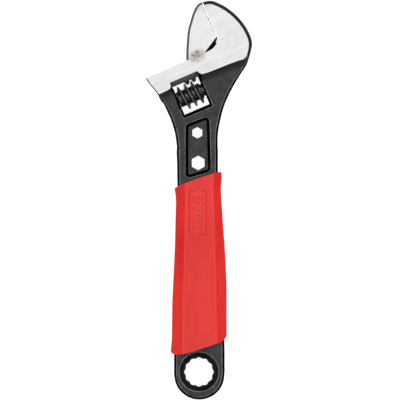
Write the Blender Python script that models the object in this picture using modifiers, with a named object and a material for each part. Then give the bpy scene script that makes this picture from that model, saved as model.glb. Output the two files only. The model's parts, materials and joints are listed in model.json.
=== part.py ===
"""An eight inch adjustable wrench: a frame, a sliding jaw on a rack, its worm, pin and spring, and a sleeve.

The tool lies flat. +Y runs up the handle to the head and +Z points up. The origin is under the middle of
the tool's box. The jaw slides along a line that leans by SLIDE_ANGLE, so everything about the jaw, the worm
and the window is given in slide coordinates: u along the slide towards the fixed jaw, and w across it towards
the jaws' tips. Both pairs of coordinates start at the middle of the ring's hole. Sizes are in millimetres.
"""

import math

import bmesh
import bpy
from mathutils import Matrix, Vector

MM = 0.001

# The whole tool
SLIDE_ANGLE = 23.0
BOX_MIDDLE = (0.8, 86.24)
HEAD_HALF = 6.4
BLACK_HALF = 5.2
SHANK_HALF = 4.2
TIP_HALF = 5.5
EDGE_ROUND = 1.3
FIT_GAP = 0.3
RUN_GAP = 0.1

# The jaws
FACE_U = 75.1
JAW_GAP = 0.35
SHOULDER_W = 146.0
TIP_W = 170.0
POLISH_W = 136.2

# The worm
PITCH = 3.6
WORM_W = 129.3
WORM_RADIUS = 6.35
WORM_ROOT = 4.05
WORM_START = 44.8
WORM_END = 57.15
THREAD_FIRST = 46.6
THREAD_TURNS = 3
CREST_WIDTH = 0.7
THREAD_FOOT = 2.4

# The rail, its teeth and its channel. The teeth clear the worm's crests by CREST_GAP and its root by ROOT_GAP
CREST_GAP = 0.8
ROOT_GAP = 1.25
TOOTH_TIP = 1.0
TOOTH_FOOT = 2.15
RAIL_RADIUS = 4.5
RAIL_START = 38.5
RAIL_END = 80.0
RAIL_FLAT_W = WORM_W + WORM_RADIUS + CREST_GAP
RAIL_W = WORM_W + WORM_ROOT + ROOT_GAP + RAIL_RADIUS
NECK_HALF = 2.35
NECK_START = 56.6

# The worm's window, as its low u and w and its high u and w
WINDOW = (44.45, WORM_W - WORM_RADIUS - 1.5, 58.05, RAIL_W - 0.05)

# The pin and the spring
PIN_RADIUS = 1.9
PIN_END = 62.6
PIN_HEAD_RADIUS = PIN_RADIUS + 0.9
PIN_HEAD_START = 37.5
PIN_HEAD_END = 39.6
SPRING_RADIUS = PIN_RADIUS + 0.75
SPRING_WIRE = 0.25
SPRING_START = 52.9
SPRING_TURNS = 5

# The shank, the pocket and the holes
POCKET_DEPTH_Z = 2.5
POCKET_SLOPE = 1.3
SMALL_HEX = (-0.2, 120.05, 5.0)
LARGE_HEX = (0.15, 104.9, 6.35)
RING_ACROSS = 13.0
RING_SINK_RADIUS = 9.8

# The sleeve
SLEEVE_HALF = SHANK_HALF + 2.2
SLEEVE_SIDE_HALF = SHANK_HALF - 0.4
SLEEVE_GAP = 0.2
LABEL = (-4.6, 68.7, 4.2, 90.8)
LABEL_DEPTH = 0.4


def turn(u, w):
    """The x and y of a point given in slide coordinates."""
    angle = math.radians(SLIDE_ANGLE)
    return (u * math.cos(angle) - w * math.sin(angle), u * math.sin(angle) + w * math.cos(angle))


def clear_scene():
    """Remove every object, so that the script can run again."""
    for obj in list(bpy.data.objects):
        bpy.data.objects.remove(obj, do_unlink=True)
    for group in list(bpy.data.collections):
        bpy.data.collections.remove(group)


def new_collection(name, hidden):
    """A collection of the scene. A hidden one holds cutters and is left out of renders."""
    group = bpy.data.collections.new(name)
    group.hide_render = hidden
    bpy.context.scene.collection.children.link(group)
    return group


def painted(name, colour, metallic, roughness):
    """A Principled material."""
    material = bpy.data.materials.new(name)
    material.use_nodes = True
    shader = material.node_tree.nodes["Principled BSDF"]
    shader.inputs["Base Color"].default_value = (*colour, 1.0)
    shader.inputs["Metallic"].default_value = metallic
    shader.inputs["Roughness"].default_value = roughness
    return material


def object_of(mesh, name, group, parent, location=(0.0, 0.0, 0.0)):
    """An object that shows this mesh, with its location in millimetres from its parent."""
    obj = bpy.data.objects.new(name, mesh)
    group.objects.link(obj)
    obj.parent = parent
    obj.location = Vector(location) * MM
    return obj


def as_cutter(obj):
    """Mark a helper, so that it shows as wire and never renders."""
    obj.hide_render = True
    obj.display_type = "WIRE"
    return obj


def mesh_of(name, curve):
    """The mesh of a curve's solid, with the seams between its caps and its sides closed."""
    holder = bpy.data.objects.new(name, curve)
    bpy.context.scene.collection.objects.link(holder)
    bpy.context.view_layer.update()
    graph = bpy.context.evaluated_depsgraph_get()
    mesh = bpy.data.meshes.new_from_object(holder.evaluated_get(graph))
    bpy.data.objects.remove(holder, do_unlink=True)
    work = bmesh.new()
    work.from_mesh(mesh)
    bmesh.ops.remove_doubles(work, verts=work.verts, dist=0.00001)
    bmesh.ops.recalc_face_normals(work, faces=work.faces)
    work.to_mesh(mesh)
    work.free()
    mesh.name = name
    return mesh


def plate(name, points, low, high, bevel=0.0, steps=0, resolution=4, grow=0.0):
    """A flat plate with a smooth outline.

    Each point is x, y and a letter: C for a corner, S for a smooth point. The bevel runs round both faces and
    keeps the outline's size. low and high are the heights of the two faces.
    """
    curve = bpy.data.curves.new(name, "CURVE")
    curve.dimensions = "2D"
    curve.fill_mode = "BOTH"
    curve.resolution_u = resolution
    curve.extrude = ((high - low) / 2.0 - bevel) * MM
    curve.bevel_depth = bevel * MM
    curve.bevel_resolution = steps
    curve.offset = (grow - bevel) * MM
    spline = curve.splines.new("BEZIER")
    spline.use_cyclic_u = True
    spline.bezier_points.add(len(points) - 1)
    for knot, (x, y, kind) in zip(spline.bezier_points, points):
        knot.co = (x * MM, y * MM, 0.0)
        knot.handle_left_type = "VECTOR" if kind == "C" else "AUTO"
        knot.handle_right_type = knot.handle_left_type
    mesh = mesh_of(name, curve)
    mesh.transform(Matrix.Translation((0.0, 0.0, (high + low) / 2.0 * MM)))
    return mesh


def corners(points):
    """Mark each x and y as a corner."""
    return [(x, y, "C") for x, y in points]


def rounded(points, radius, steps=4):
    """A polygon's outline with each corner turned into an arc, listed anticlockwise."""
    outline = []
    count = len(points)
    for index in range(count):
        here = Vector(points[index])
        before = (Vector(points[index - 1]) - here).normalized()
        after = (Vector(points[(index + 1) % count]) - here).normalized()
        half = before.angle(after) / 2.0
        middle = here + (before + after).normalized() * (radius / math.sin(half))
        first = here + before * (radius / math.tan(half)) - middle
        sweep = math.pi - 2.0 * half
        for step in range(steps + 1):
            spot = middle + Matrix.Rotation(sweep * step / steps, 2) @ first
            outline.append((spot.x, spot.y))
    return outline


def prism(name, points, low, high):
    """A straight prism over a polygon of x and y, between two heights."""
    work = bmesh.new()
    ring = [work.verts.new((x * MM, y * MM, low * MM)) for x, y in points]
    base = work.faces.new(ring)
    grown = bmesh.ops.extrude_face_region(work, geom=[base])
    raised = [item for item in grown["geom"] if isinstance(item, bmesh.types.BMVert)]
    bmesh.ops.translate(work, verts=raised, vec=(0.0, 0.0, (high - low) * MM))
    return finished(name, work)


def box(name, low, high):
    """A box between two opposite corners."""
    work = bmesh.new()
    bmesh.ops.create_cube(work, size=1.0)
    size = [(b - a) * MM for a, b in zip(low, high)]
    middle = [(b + a) / 2.0 * MM for a, b in zip(low, high)]
    bmesh.ops.scale(work, verts=work.verts, vec=size)
    bmesh.ops.translate(work, verts=work.verts, vec=middle)
    return finished(name, work)


def loft(name, rings):
    """A closed skin over a row of rings that have the same number of points."""
    work = bmesh.new()
    rows = [[work.verts.new([value * MM for value in point]) for point in ring] for ring in rings]
    for lower, upper in zip(rows, rows[1:]):
        for index in range(len(lower)):
            after = (index + 1) % len(lower)
            work.faces.new((lower[index], lower[after], upper[after], upper[index]))
    work.faces.new(rows[0])
    work.faces.new(rows[-1])
    return finished(name, work)


def finished(name, work):
    """The mesh of this edit, with its faces turned outwards."""
    bmesh.ops.recalc_face_normals(work, faces=work.faces)
    mesh = bpy.data.meshes.new(name)
    work.to_mesh(mesh)
    work.free()
    return mesh


def rod(name, radius, start, end, w=0.0, sides=32, end_radius=None):
    """A rod or a cone along u, between two values of u."""
    work = bmesh.new()
    last = radius if end_radius is None else end_radius
    long = (end - start) * MM
    bmesh.ops.create_cone(
        work, cap_ends=True, segments=sides, radius1=radius * MM, radius2=last * MM, depth=long
    )
    lie = Matrix.Rotation(math.radians(90.0), 4, "Y")
    shift = Matrix.Translation(((start + end) / 2.0 * MM, w * MM, 0.0))
    bmesh.ops.transform(work, verts=work.verts, matrix=shift @ lie)
    return finished(name, work)


def post(name, x, y, radius, low, high, sides=32, end_radius=None, turned=0.0):
    """An upright rod or cone on a point, between two heights."""
    work = bmesh.new()
    last = radius if end_radius is None else end_radius
    tall = (high - low) * MM
    bmesh.ops.create_cone(
        work, cap_ends=True, segments=sides, radius1=radius * MM, radius2=last * MM, depth=tall
    )
    spin = Matrix.Rotation(math.radians(turned), 4, "Z")
    shift = Matrix.Translation((x * MM, y * MM, (low + high) / 2.0 * MM))
    bmesh.ops.transform(work, verts=work.verts, matrix=shift @ spin)
    return finished(name, work)


def boolean(obj, other, operation, name):
    """Join, cut or trim an object with another."""
    modifier = obj.modifiers.new(name, "BOOLEAN")
    modifier.operation = operation
    modifier.solver = "EXACT"
    modifier.object = other
    return modifier


def soften(obj, width, segments, angle, name="soften"):
    """Round the edges that are sharper than this angle."""
    modifier = obj.modifiers.new(name, "BEVEL")
    modifier.width = width * MM
    modifier.segments = segments
    modifier.limit_method = "ANGLE"
    modifier.angle_limit = math.radians(angle)
    return modifier


def shade(mesh):
    """Shade a mesh smooth, with its corners kept sharp."""
    mesh.shade_smooth()
    mesh.set_sharp_from_angle(angle=math.radians(32.0))


class Builder:
    """Builds the tool's pieces into one collection and their cutters into another."""

    def __init__(self):
        clear_scene()
        self.parts = new_collection("adjustable_wrench", False)
        self.tools = new_collection("cutters", True)
        middle = (-BOX_MIDDLE[0], -BOX_MIDDLE[1], HEAD_HALF)
        self.root = object_of(None, "tool_root", self.parts, None, middle)
        self.slide = object_of(None, "slide_root", self.parts, self.root)
        self.slide.rotation_euler = (0.0, 0.0, math.radians(SLIDE_ANGLE))
        bpy.context.view_layer.update()

    def cutter(self, mesh, parent):
        """A helper object for a Boolean."""
        return as_cutter(object_of(mesh, mesh.name, self.tools, parent))

    def cut(self, obj, mesh, parent):
        """Cut a mesh out of an object."""
        return boolean(obj, self.cutter(mesh, parent), "DIFFERENCE", mesh.name)

    def side_profile(self, name, heights, low_u, high_u):
        """A bar along u whose half thickness follows w, given as pairs of w and half thickness."""
        section = [(w, half) for w, half in heights] + [(w, -half) for w, half in reversed(heights)]
        return loft(name, [[(u, w, z) for w, z in section] for u in (low_u, high_u)])

    def head_outline(self):
        """The head's outline, wide enough on the jaws' side for the mouth to be cut from it."""
        left = [(*turn(33.4, 148.0), "C"), (*turn(34.4, 142.0), "S"), (*turn(35.3, 139.2), "S")]
        left += [(*turn(36.0, 136.4), "S"), (*turn(36.2, 132.6), "C")]
        left += [(*turn(36.95, 130.6), "C"), (*turn(37.12, 122.5), "S"), (-12.24, 123.0, "S")]
        left += [(-11.45, 120.0, "S"), (-10.94, 117.0, "S"), (-10.55, 113.5, "C"), (-10.1, 110.5, "C")]
        right = [(9.6, 110.5, "C"), (9.95, 113.5, "C"), (10.21, 120.0, "S"), (11.34, 126.0, "S")]
        right += [(12.87, 132.0, "S"), (15.27, 138.0, "S"), (18.38, 144.0, "S"), (22.13, 150.0, "S")]
        right += [(24.75, 154.0, "C"), (25.6, 156.4, "C"), (26.55, 159.6, "S"), (27.5, 163.4, "S")]
        right += [(27.45, 166.0, "S"), (26.08, 170.0, "S"), (22.32, 176.0, "S"), (16.06, 182.0, "S")]
        right += [(10.91, 185.0, "S"), (7.2, 186.35, "S"), (2.7, 185.7, "C")]
        return left + right + [(*turn(70.0, 170.4), "C"), (*turn(70.0, 148.0), "C")]

    def shank_outline(self):
        """The handle's outline, down to the round ring end. Its upper end lies inside the head."""
        left = [(-9.4, 119.0, "C"), (-10.5, 113.0, "S"), (-10.45, 104.0, "S"), (-10.35, 95.0, "S")]
        left += [(-9.95, 88.0, "S"), (-9.9, 80.0, "S"), (-10.2, 65.0, "S"), (-11.4, 45.0, "S")]
        left += [(-12.1, 25.0, "S"), (-12.45, 9.0, "S"), (-12.5, 3.0, "S")]
        middle = Vector((0.17, -1.23))
        ends = [math.pi * (1.0 + step / 8.0) for step in range(9)]
        round_end = [(middle.x + 12.65 * math.cos(a), middle.y + 12.65 * math.sin(a), "S") for a in ends]
        right = [(12.9, 4.0, "S"), (12.92, 9.0, "S"), (12.85, 15.0, "S"), (12.6, 24.0, "S")]
        right += [(12.7, 36.0, "S"), (12.4, 47.0, "S"), (11.8, 60.0, "S"), (10.8, 75.0, "S")]
        right += [(10.25, 90.0, "S"), (10.1, 98.0, "S"), (10.05, 104.0, "S"), (10.0, 113.0, "S")]
        right += [(9.0, 119.0, "C")]
        return left + round_end + right

    def frame(self):
        """The forging: fixed jaw, head, shank and ring end."""
        body = object_of(plate("frame", self.head_outline(), -8.0, 8.0), "frame", self.parts, self.root)
        low_half = SHANK_HALF + 0.05
        heights = [(88.0, low_half), (108.0, low_half), (120.0, BLACK_HALF - 0.3), (131.0, BLACK_HALF)]
        heights += [(134.0, BLACK_HALF + 0.25), (135.4, BLACK_HALF + 0.6), (POLISH_W, HEAD_HALF)]
        heights += [(156.0, HEAD_HALF), (TIP_W + 8.0, TIP_HALF - 0.4)]
        thickness = self.cutter(self.side_profile("frame_thickness", heights, 20.0, 100.0), self.slide)
        boolean(body, thickness, "INTERSECT", "thickness")
        soften(body, EDGE_ROUND, 2, 50.0)
        shank = plate("frame_shank", self.shank_outline(), -SHANK_HALF, SHANK_HALF, 1.2, 2)
        boolean(body, self.cutter(shank, self.root), "UNION", "shank")
        self.cut_mouth(body)
        self.cut_rail_channel(body)
        self.cut_window(body)
        self.cut_pin_hole(body)
        self.cut_pockets(body)
        self.cut_ring(body)
        return body

    def cut_mouth(self, body):
        """Cut the mouth: the shoulder, the throat's curve and the fixed jaw's face."""
        throat = [(25.0, SHOULDER_W, "C"), (67.0, SHOULDER_W, "C"), (70.4, SHOULDER_W + 0.35, "S")]
        throat += [(73.4, 147.8, "C"), (73.3, 148.8, "C"), (FACE_U, 150.5, "C"), (FACE_U, 180.0, "C")]
        throat += [(25.0, 180.0, "C")]
        self.cut(body, plate("mouth", throat, -9.0, 9.0), self.slide)

    def cut_rail_channel(self, body):
        """Cut the channel that the rail runs in, and the slot above it for the jaw's neck."""
        bore = rod("rail_bore", RAIL_RADIUS + FIT_GAP, 25.0, RAIL_END + 0.6, RAIL_W, 32)
        self.cut(body, bore, self.slide)
        half = NECK_HALF + FIT_GAP
        slot = box("neck_slot", (24.0, RAIL_W + 0.5, -half), (FACE_U - 0.1, 151.5, half))
        self.cut(body, slot, self.slide)

    def cut_window(self, body):
        """Cut the worm's window through the head, with sloping sides on both faces."""
        low_u, low_w, high_u, high_w = WINDOW
        self.cut(body, box("window", (low_u, low_w, -9.0), (high_u, high_w, 9.0)), self.slide)
        inner = [(low_u + 0.4, low_w + 0.5), (high_u - 0.4, low_w + 0.5), (high_u - 0.4, high_w - 0.5)]
        inner += [(low_u + 0.4, high_w - 0.5)]
        outer = [(low_u - 1.3, low_w - 1.7), (high_u + 1.3, low_w - 1.7), (high_u + 0.9, high_w - 0.2)]
        outer += [(low_u - 0.2, high_w - 0.2)]
        depth = 2.1
        for side in (1.0, -1.0):
            rings = []
            for share in (0.0, 1.8):
                spots = [(a + (c - a) * share, b + (d - b) * share) for (a, b), (c, d) in zip(inner, outer)]
                spots[2] = (spots[2][0], high_w - 0.2)
                spots[3] = (spots[3][0], high_w - 0.2)
                rings.append([(u, w, side * (BLACK_HALF - depth * (1.0 - share))) for u, w in spots])
            name = "window_front" if side > 0.0 else "window_back"
            self.cut(body, loft(name, rings), self.slide)

    def cut_pin_hole(self, body):
        """Cut the hole for the pin, blind on the far side, with a wider mouth for its head."""
        self.cut(body, rod("pin_hole", PIN_RADIUS + RUN_GAP, 36.0, PIN_END + 0.4, WORM_W), self.slide)
        mouth = rod("pin_mouth", PIN_HEAD_RADIUS + 0.15, 30.0, PIN_HEAD_END + 0.2, WORM_W)
        self.cut(body, mouth, self.slide)

    def cut_pockets(self, body):
        """Cut the long pocket into both faces, and the two hexagonal holes through its floor."""
        outline = rounded([(-6.1, 97.2), (6.3, 100.8), (5.75, 128.4), (-5.9, 124.0)], 1.9)
        for side in (1.0, -1.0):
            name = "pocket_front" if side > 0.0 else "pocket_back"
            low, high = sorted((side * POCKET_DEPTH_Z, side * 9.0))
            pocket = plate(name, corners(outline), low, high, POCKET_SLOPE, 0, 1)
            self.cut(body, pocket, self.root)
        for name, (x, y, across) in (("small_hex", SMALL_HEX), ("large_hex", LARGE_HEX)):
            radius = across / math.sqrt(3.0)
            self.cut(body, post(name, x, y, radius, -9.0, 9.0, 6), self.root)
            for side in (1.0, -1.0):
                tag = "_front" if side > 0.0 else "_back"
                low, high = sorted((side * (POCKET_DEPTH_Z - 0.5), side * (POCKET_DEPTH_Z + 0.5)))
                wide, narrow = radius + 1.0, radius - 0.1
                first, last = (narrow, wide) if side > 0.0 else (wide, narrow)
                self.cut(body, post(name + tag, x, y, first, low, high, 24, last, 7.5), self.root)

    def cut_ring(self, body):
        """Cut the 12-point hole and the wide sink around it on both faces."""
        radius = RING_ACROSS / math.sqrt(3.0)
        self.cut(body, post("ring_points", 0.0, 0.0, radius, -9.0, 9.0, 6), self.root)
        self.cut(body, post("ring_points_turned", 0.0, 0.0, radius, -9.1, 9.1, 6, None, 30.0), self.root)
        for side in (1.0, -1.0):
            name = "ring_sink_front" if side > 0.0 else "ring_sink_back"
            low, high = sorted((side * (SHANK_HALF - 1.9), side * (SHANK_HALF + 0.6)))
            wide, narrow = RING_SINK_RADIUS + 0.65, radius + 0.1
            first, last = (narrow, wide) if side > 0.0 else (wide, narrow)
            self.cut(body, post(name, 0.0, 0.0, first, low, high, 40, last, 4.5), self.root)

    def movable_jaw(self):
        """The sliding jaw: a blade on the shoulder, a neck in the slot and a toothed rail in the channel."""
        face = FACE_U - JAW_GAP
        foot = SHOULDER_W + FIT_GAP
        outline = [(55.1, foot - 2.0, "C"), (55.95, foot, "S"), (57.5, 149.7, "S"), (60.0, 154.7, "S")]
        outline += [(62.5, 159.3, "S"), (66.0, 163.8, "S"), (70.0, 168.1, "S"), (72.6, 169.75, "S")]
        outline += [(74.3, TIP_W, "C"), (78.5, TIP_W, "C"), (78.5, 152.9, "C"), (62.86, foot - 2.0, "C")]
        origin = (RAIL_START, RAIL_W, 0.0)
        flat = [(x - origin[0], y - origin[1], kind) for x, y, kind in outline]
        jaw = object_of(plate("movable_jaw", flat, -8.0, 8.0), "movable_jaw", self.parts, self.slide, origin)
        half = HEAD_HALF - 0.1
        heights = [(foot - 6.0, half), (156.0, half), (TIP_W + 8.0, TIP_HALF - 0.5)]
        thickness = self.cutter(self.side_profile("jaw_thickness", heights, 50.0, 90.0), self.slide)
        boolean(jaw, thickness, "INTERSECT", "thickness")
        soften(jaw, EDGE_ROUND, 2, 50.0)
        self.cut(jaw, box("jaw_face", (face, 140.0, -9.0), (90.0, 180.0, 9.0)), self.slide)
        self.cut(jaw, box("jaw_foot", (40.0, 130.0, -9.0), (90.0, foot, 9.0)), self.slide)
        neck = [(NECK_START, RAIL_W), (face - 0.1, RAIL_W), (face - 0.1, 151.0), (66.5, 148.5)]
        neck += [(NECK_START + 1.0, 147.2), (NECK_START, 146.0)]
        neck_solid = self.cutter(prism("jaw_neck", neck, -NECK_HALF, NECK_HALF), self.slide)
        boolean(jaw, neck_solid, "UNION", "neck")
        rail = rod("jaw_rail", RAIL_RADIUS, RAIL_START, RAIL_END, RAIL_W)
        boolean(jaw, self.cutter(rail, self.slide), "UNION", "rail")
        self.cut_rack(jaw)
        return jaw

    def cut_rack(self, jaw):
        """Cut the rack: a plain flat first, then gashes between the teeth that lean with the thread."""
        first = THREAD_FIRST + PITCH
        flat = box("rack_flat", (30.0, 130.0, -9.0), (first, RAIL_FLAT_W, 9.0))
        self.cut(jaw, flat, self.slide)
        lean = PITCH / (2.0 * math.pi * (WORM_RADIUS - 0.9))
        tip_w = RAIL_W - RAIL_RADIUS
        rise = (TOOTH_FOOT - TOOTH_TIP) / 2.0 / (RAIL_FLAT_W - tip_w)
        low_w = tip_w - 1.0
        count = int((RAIL_END - first) / PITCH) + 1
        for index in range(count):
            middle = first + index * PITCH
            foot = (PITCH - TOOTH_FOOT) / 2.0
            wide = foot + rise * (RAIL_FLAT_W - low_w)
            section = [(middle - wide, low_w), (middle + wide, low_w), (middle + foot, RAIL_FLAT_W)]
            section += [(middle - foot, RAIL_FLAT_W)]
            rings = [[(u + z * lean, w, z) for u, w in section] for z in (-7.0, 7.0)]
            self.cut(jaw, loft("rack_gash_" + str(index + 1), rings), self.slide)

    def thread_mesh(self, name, root, crest, foot_width, crest_width, start, turns):
        """A helical ridge along local Z, made by a Screw and closed at both ends."""
        profile = [(root, -foot_width / 2.0), (crest, -crest_width / 2.0)]
        profile += [(crest, crest_width / 2.0), (root, foot_width / 2.0)]
        work = bmesh.new()
        ring = [work.verts.new((r * MM, 0.0, (start + z) * MM)) for r, z in profile]
        for index in range(len(ring)):
            work.edges.new((ring[index], ring[(index + 1) % len(ring)]))
        mesh = bpy.data.meshes.new(name)
        work.to_mesh(mesh)
        work.free()
        holder = bpy.data.objects.new(name, mesh)
        bpy.context.scene.collection.objects.link(holder)
        screw = holder.modifiers.new("screw", "SCREW")
        screw.axis = "Z"
        screw.angle = math.radians(360.0)
        screw.screw_offset = PITCH * MM
        screw.iterations = turns
        screw.steps = 24
        screw.render_steps = 24
        screw.use_merge_vertices = False
        bpy.context.view_layer.update()
        graph = bpy.context.evaluated_depsgraph_get()
        swept = bpy.data.meshes.new_from_object(holder.evaluated_get(graph))
        bpy.data.objects.remove(holder, do_unlink=True)
        work = bmesh.new()
        work.from_mesh(swept)
        bmesh.ops.remove_doubles(work, verts=work.verts, dist=0.00001)
        bmesh.ops.holes_fill(work, edges=work.edges, sides=4)
        return finished(name, work)

    def adjusting_worm(self):
        """The worm: a core with a right-handed thread, bored for the pin and sunk for the spring."""
        length = WORM_END - WORM_START
        origin = (WORM_START, WORM_W, 0.0)
        core = rod("adjusting_worm", WORM_ROOT, 0.0, length, 0.0, 48)
        worm = object_of(core, "adjusting_worm", self.parts, self.slide, origin)
        start = THREAD_FIRST - PITCH / 4.0 - WORM_START
        thread = self.thread_mesh(
            "worm_thread", WORM_ROOT - 0.6, WORM_RADIUS, THREAD_FOOT + 0.6, CREST_WIDTH, start, THREAD_TURNS
        )
        thread.transform(Matrix.Rotation(math.radians(90.0), 4, "Y"))
        helper = self.cutter(thread, self.slide)
        helper.location = Vector(origin) * MM
        boolean(worm, helper, "UNION", "thread")
        trim = rod("worm_trim", WORM_RADIUS + 1.0, WORM_START, WORM_END, WORM_W, 48)
        boolean(worm, self.cutter(trim, self.slide), "INTERSECT", "trim")
        self.cut(worm, rod("worm_bore", PIN_RADIUS + RUN_GAP, 40.0, 60.0, WORM_W), self.slide)
        seat = rod("spring_seat", SPRING_RADIUS + SPRING_WIRE + 0.3, SPRING_START - 0.3, 60.0, WORM_W)
        self.cut(worm, seat, self.slide)
        return worm

    def worm_pin(self):
        """The pin that the worm turns on, with a slot across its head."""
        origin = (PIN_HEAD_START, WORM_W, 0.0)
        shaft = rod("worm_pin", PIN_RADIUS, 0.0, PIN_END - PIN_HEAD_START)
        pin = object_of(shaft, "worm_pin", self.parts, self.slide, origin)
        head = rod("pin_head", PIN_HEAD_RADIUS, PIN_HEAD_START, PIN_HEAD_END, WORM_W)
        boolean(pin, self.cutter(head, self.slide), "UNION", "head")
        low = (PIN_HEAD_START - 1.0, WORM_W - 4.0, -0.4)
        self.cut(pin, box("pin_slot", low, (PIN_HEAD_START + 0.9, WORM_W + 4.0, 0.4)), self.slide)
        return pin

    def worm_spring(self):
        """The coil between the worm and the window's wall."""
        end = WINDOW[2] - 0.3 - SPRING_WIRE
        start = SPRING_START + SPRING_WIRE
        curve = bpy.data.curves.new("worm_spring", "CURVE")
        curve.dimensions = "3D"
        curve.bevel_depth = SPRING_WIRE * MM
        curve.bevel_resolution = 1
        curve.use_fill_caps = True
        spline = curve.splines.new("POLY")
        count = SPRING_TURNS * 18
        spline.points.add(count)
        for index, point in enumerate(spline.points):
            angle = 2.0 * math.pi * index / 18.0
            along = (end - start) * index / count
            y = SPRING_RADIUS * math.cos(angle)
            z = SPRING_RADIUS * math.sin(angle)
            point.co = (along * MM, y * MM, z * MM, 1.0)
        mesh = mesh_of("worm_spring", curve)
        return object_of(mesh, "worm_spring", self.parts, self.slide, (start, WORM_W, 0.0))

    def sleeve_stations(self):
        """The sleeve's sections: y, left edge, the flat's two edges and right edge."""
        return [
            (5.0, -14.2, -8.1, 8.9, 14.1),
            (10.0, -14.15, -8.0, 8.9, 14.1),
            (13.5, -13.95, -7.95, 8.85, 14.08),
            (16.5, -13.6, -7.9, 8.8, 14.06),
            (22.0, -13.5, -7.8, 8.75, 14.03),
            (35.0, -13.3, -7.6, 8.6, 14.12),
            (45.0, -12.78, -7.3, 8.45, 14.1),
            (55.0, -12.2, -7.0, 8.3, 13.75),
            (65.0, -11.75, -6.7, 8.1, 13.18),
            (75.0, -11.5, -6.4, 7.9, 12.42),
            (85.0, -11.15, -6.1, 7.7, 11.9),
            (89.0, -11.35, -6.05, 7.65, 11.6),
            (92.0, -11.85, -6.0, 7.6, 11.55),
            (95.5, -11.9, -6.0, 7.6, 11.88),
            (98.5, -11.9, -6.0, 7.6, 12.05),
            (104.0, -11.9, -6.0, 7.6, 12.05),
        ]

    def grip_sleeve(self):
        """The sleeve: a faceted bar with slanted ends, hollowed for the shank, with a sunk label panel."""
        rings = []
        for y, left, flat_left, flat_right, right in self.sleeve_stations():
            top = [(left, SLEEVE_SIDE_HALF), (flat_left, SLEEVE_HALF), (flat_right, SLEEVE_HALF)]
            top += [(right, SLEEVE_SIDE_HALF)]
            section = top + [(x, -z) for x, z in reversed(top)]
            rings.append([(x, y, z) for x, z in section])
        sleeve = object_of(loft("grip_sleeve", rings), "grip_sleeve", self.parts, self.root)
        soften(sleeve, 0.8, 2, 25.0)
        upper = [(-16.0, 89.0, "C"), (-12.2, 91.6, "C"), (-11.2, 92.6, "S"), (-7.0, 94.6, "S")]
        upper += [(0.0, 97.1, "S"), (8.1, 99.7, "S"), (10.9, 100.3, "S"), (11.9, 99.9, "S")]
        upper += [(12.4, 98.4, "C"), (16.0, 97.0, "C"), (16.0, 110.0, "C"), (-16.0, 110.0, "C")]
        self.cut(sleeve, plate("sleeve_top_end", upper, -9.0, 9.0), self.root)
        lower = [(-17.0, 13.0, "C"), (-14.3, 10.4, "C"), (-12.9, 9.0, "S"), (-8.0, 9.0, "S")]
        lower += [(-5.0, 9.5, "S"), (0.0, 11.1, "S"), (7.0, 13.4, "S"), (12.0, 15.5, "S")]
        lower += [(14.2, 18.1, "C"), (17.0, 22.0, "C"), (17.0, 0.0, "C"), (-17.0, 0.0, "C")]
        self.cut(sleeve, plate("sleeve_low_end", lower, -9.0, 9.0), self.root)
        inner = SHANK_HALF + SLEEVE_GAP
        hollow = plate("sleeve_hollow", self.shank_outline(), -inner, inner, 1.2, 2, 4, SLEEVE_GAP)
        self.cut(sleeve, hollow, self.root)
        left, low, right, high = LABEL
        panel = rounded([(left, low), (right, low), (right, high), (left, high)], 0.8, 3)
        self.cut(sleeve, prism("label_panel", panel, SLEEVE_HALF - LABEL_DEPTH, 9.0), self.root)
        return sleeve

    def build(self):
        """Make every piece and give each its own material."""
        looks = (
            (self.frame, (0.05, 0.05, 0.055), 0.4, 0.5),
            (self.movable_jaw, (0.8, 0.8, 0.79), 1.0, 0.3),
            (self.adjusting_worm, (0.03, 0.03, 0.03), 0.6, 0.4),
            (self.worm_pin, (0.3, 0.3, 0.3), 1.0, 0.35),
            (self.worm_spring, (0.35, 0.35, 0.36), 1.0, 0.3),
            (self.grip_sleeve, (0.72, 0.05, 0.045), 0.0, 0.5),
        )
        for make, colour, metallic, roughness in looks:
            piece = make()
            piece.data.materials.clear()
            piece.data.materials.append(painted(piece.name, colour, metallic, roughness))
            shade(piece.data)


Builder().build()
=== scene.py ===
"""An eight inch adjustable wrench, dressed for the studio.

The tool lies flat, with its handle along +Y and its front face up. Sizes are in millimetres and start at the
middle of the ring's hole. The jaw slides along a line that leans, so the jaw, the worm and the window are in
slide coordinates: u along the slide towards the fixed jaw, and w across it towards the jaws' tips.
"""

from __future__ import annotations

import json
import logging
import math
from collections.abc import Callable, Sequence
from dataclasses import dataclass
from enum import Enum

import bmesh
import bpy
from mathutils import Matrix, Vector

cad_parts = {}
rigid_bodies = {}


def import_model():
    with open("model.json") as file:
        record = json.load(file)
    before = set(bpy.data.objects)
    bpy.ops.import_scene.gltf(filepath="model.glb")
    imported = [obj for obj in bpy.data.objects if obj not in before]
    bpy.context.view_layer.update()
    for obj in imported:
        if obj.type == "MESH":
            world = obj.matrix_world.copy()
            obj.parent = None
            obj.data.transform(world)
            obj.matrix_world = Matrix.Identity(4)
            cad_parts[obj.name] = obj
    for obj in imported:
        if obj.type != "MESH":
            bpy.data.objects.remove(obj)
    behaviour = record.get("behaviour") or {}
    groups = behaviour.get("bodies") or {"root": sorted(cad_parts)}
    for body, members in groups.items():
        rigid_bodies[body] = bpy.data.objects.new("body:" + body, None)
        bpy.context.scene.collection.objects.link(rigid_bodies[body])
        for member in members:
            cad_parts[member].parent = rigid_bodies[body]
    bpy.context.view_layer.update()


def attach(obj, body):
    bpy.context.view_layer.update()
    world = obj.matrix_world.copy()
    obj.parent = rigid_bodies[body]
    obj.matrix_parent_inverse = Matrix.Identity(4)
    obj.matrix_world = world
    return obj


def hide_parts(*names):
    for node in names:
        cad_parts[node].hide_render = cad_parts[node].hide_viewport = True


for startup_object in list(bpy.data.objects):
    bpy.data.objects.remove(startup_object, do_unlink=True)

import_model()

LOG = logging.getLogger("wrench")

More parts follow.
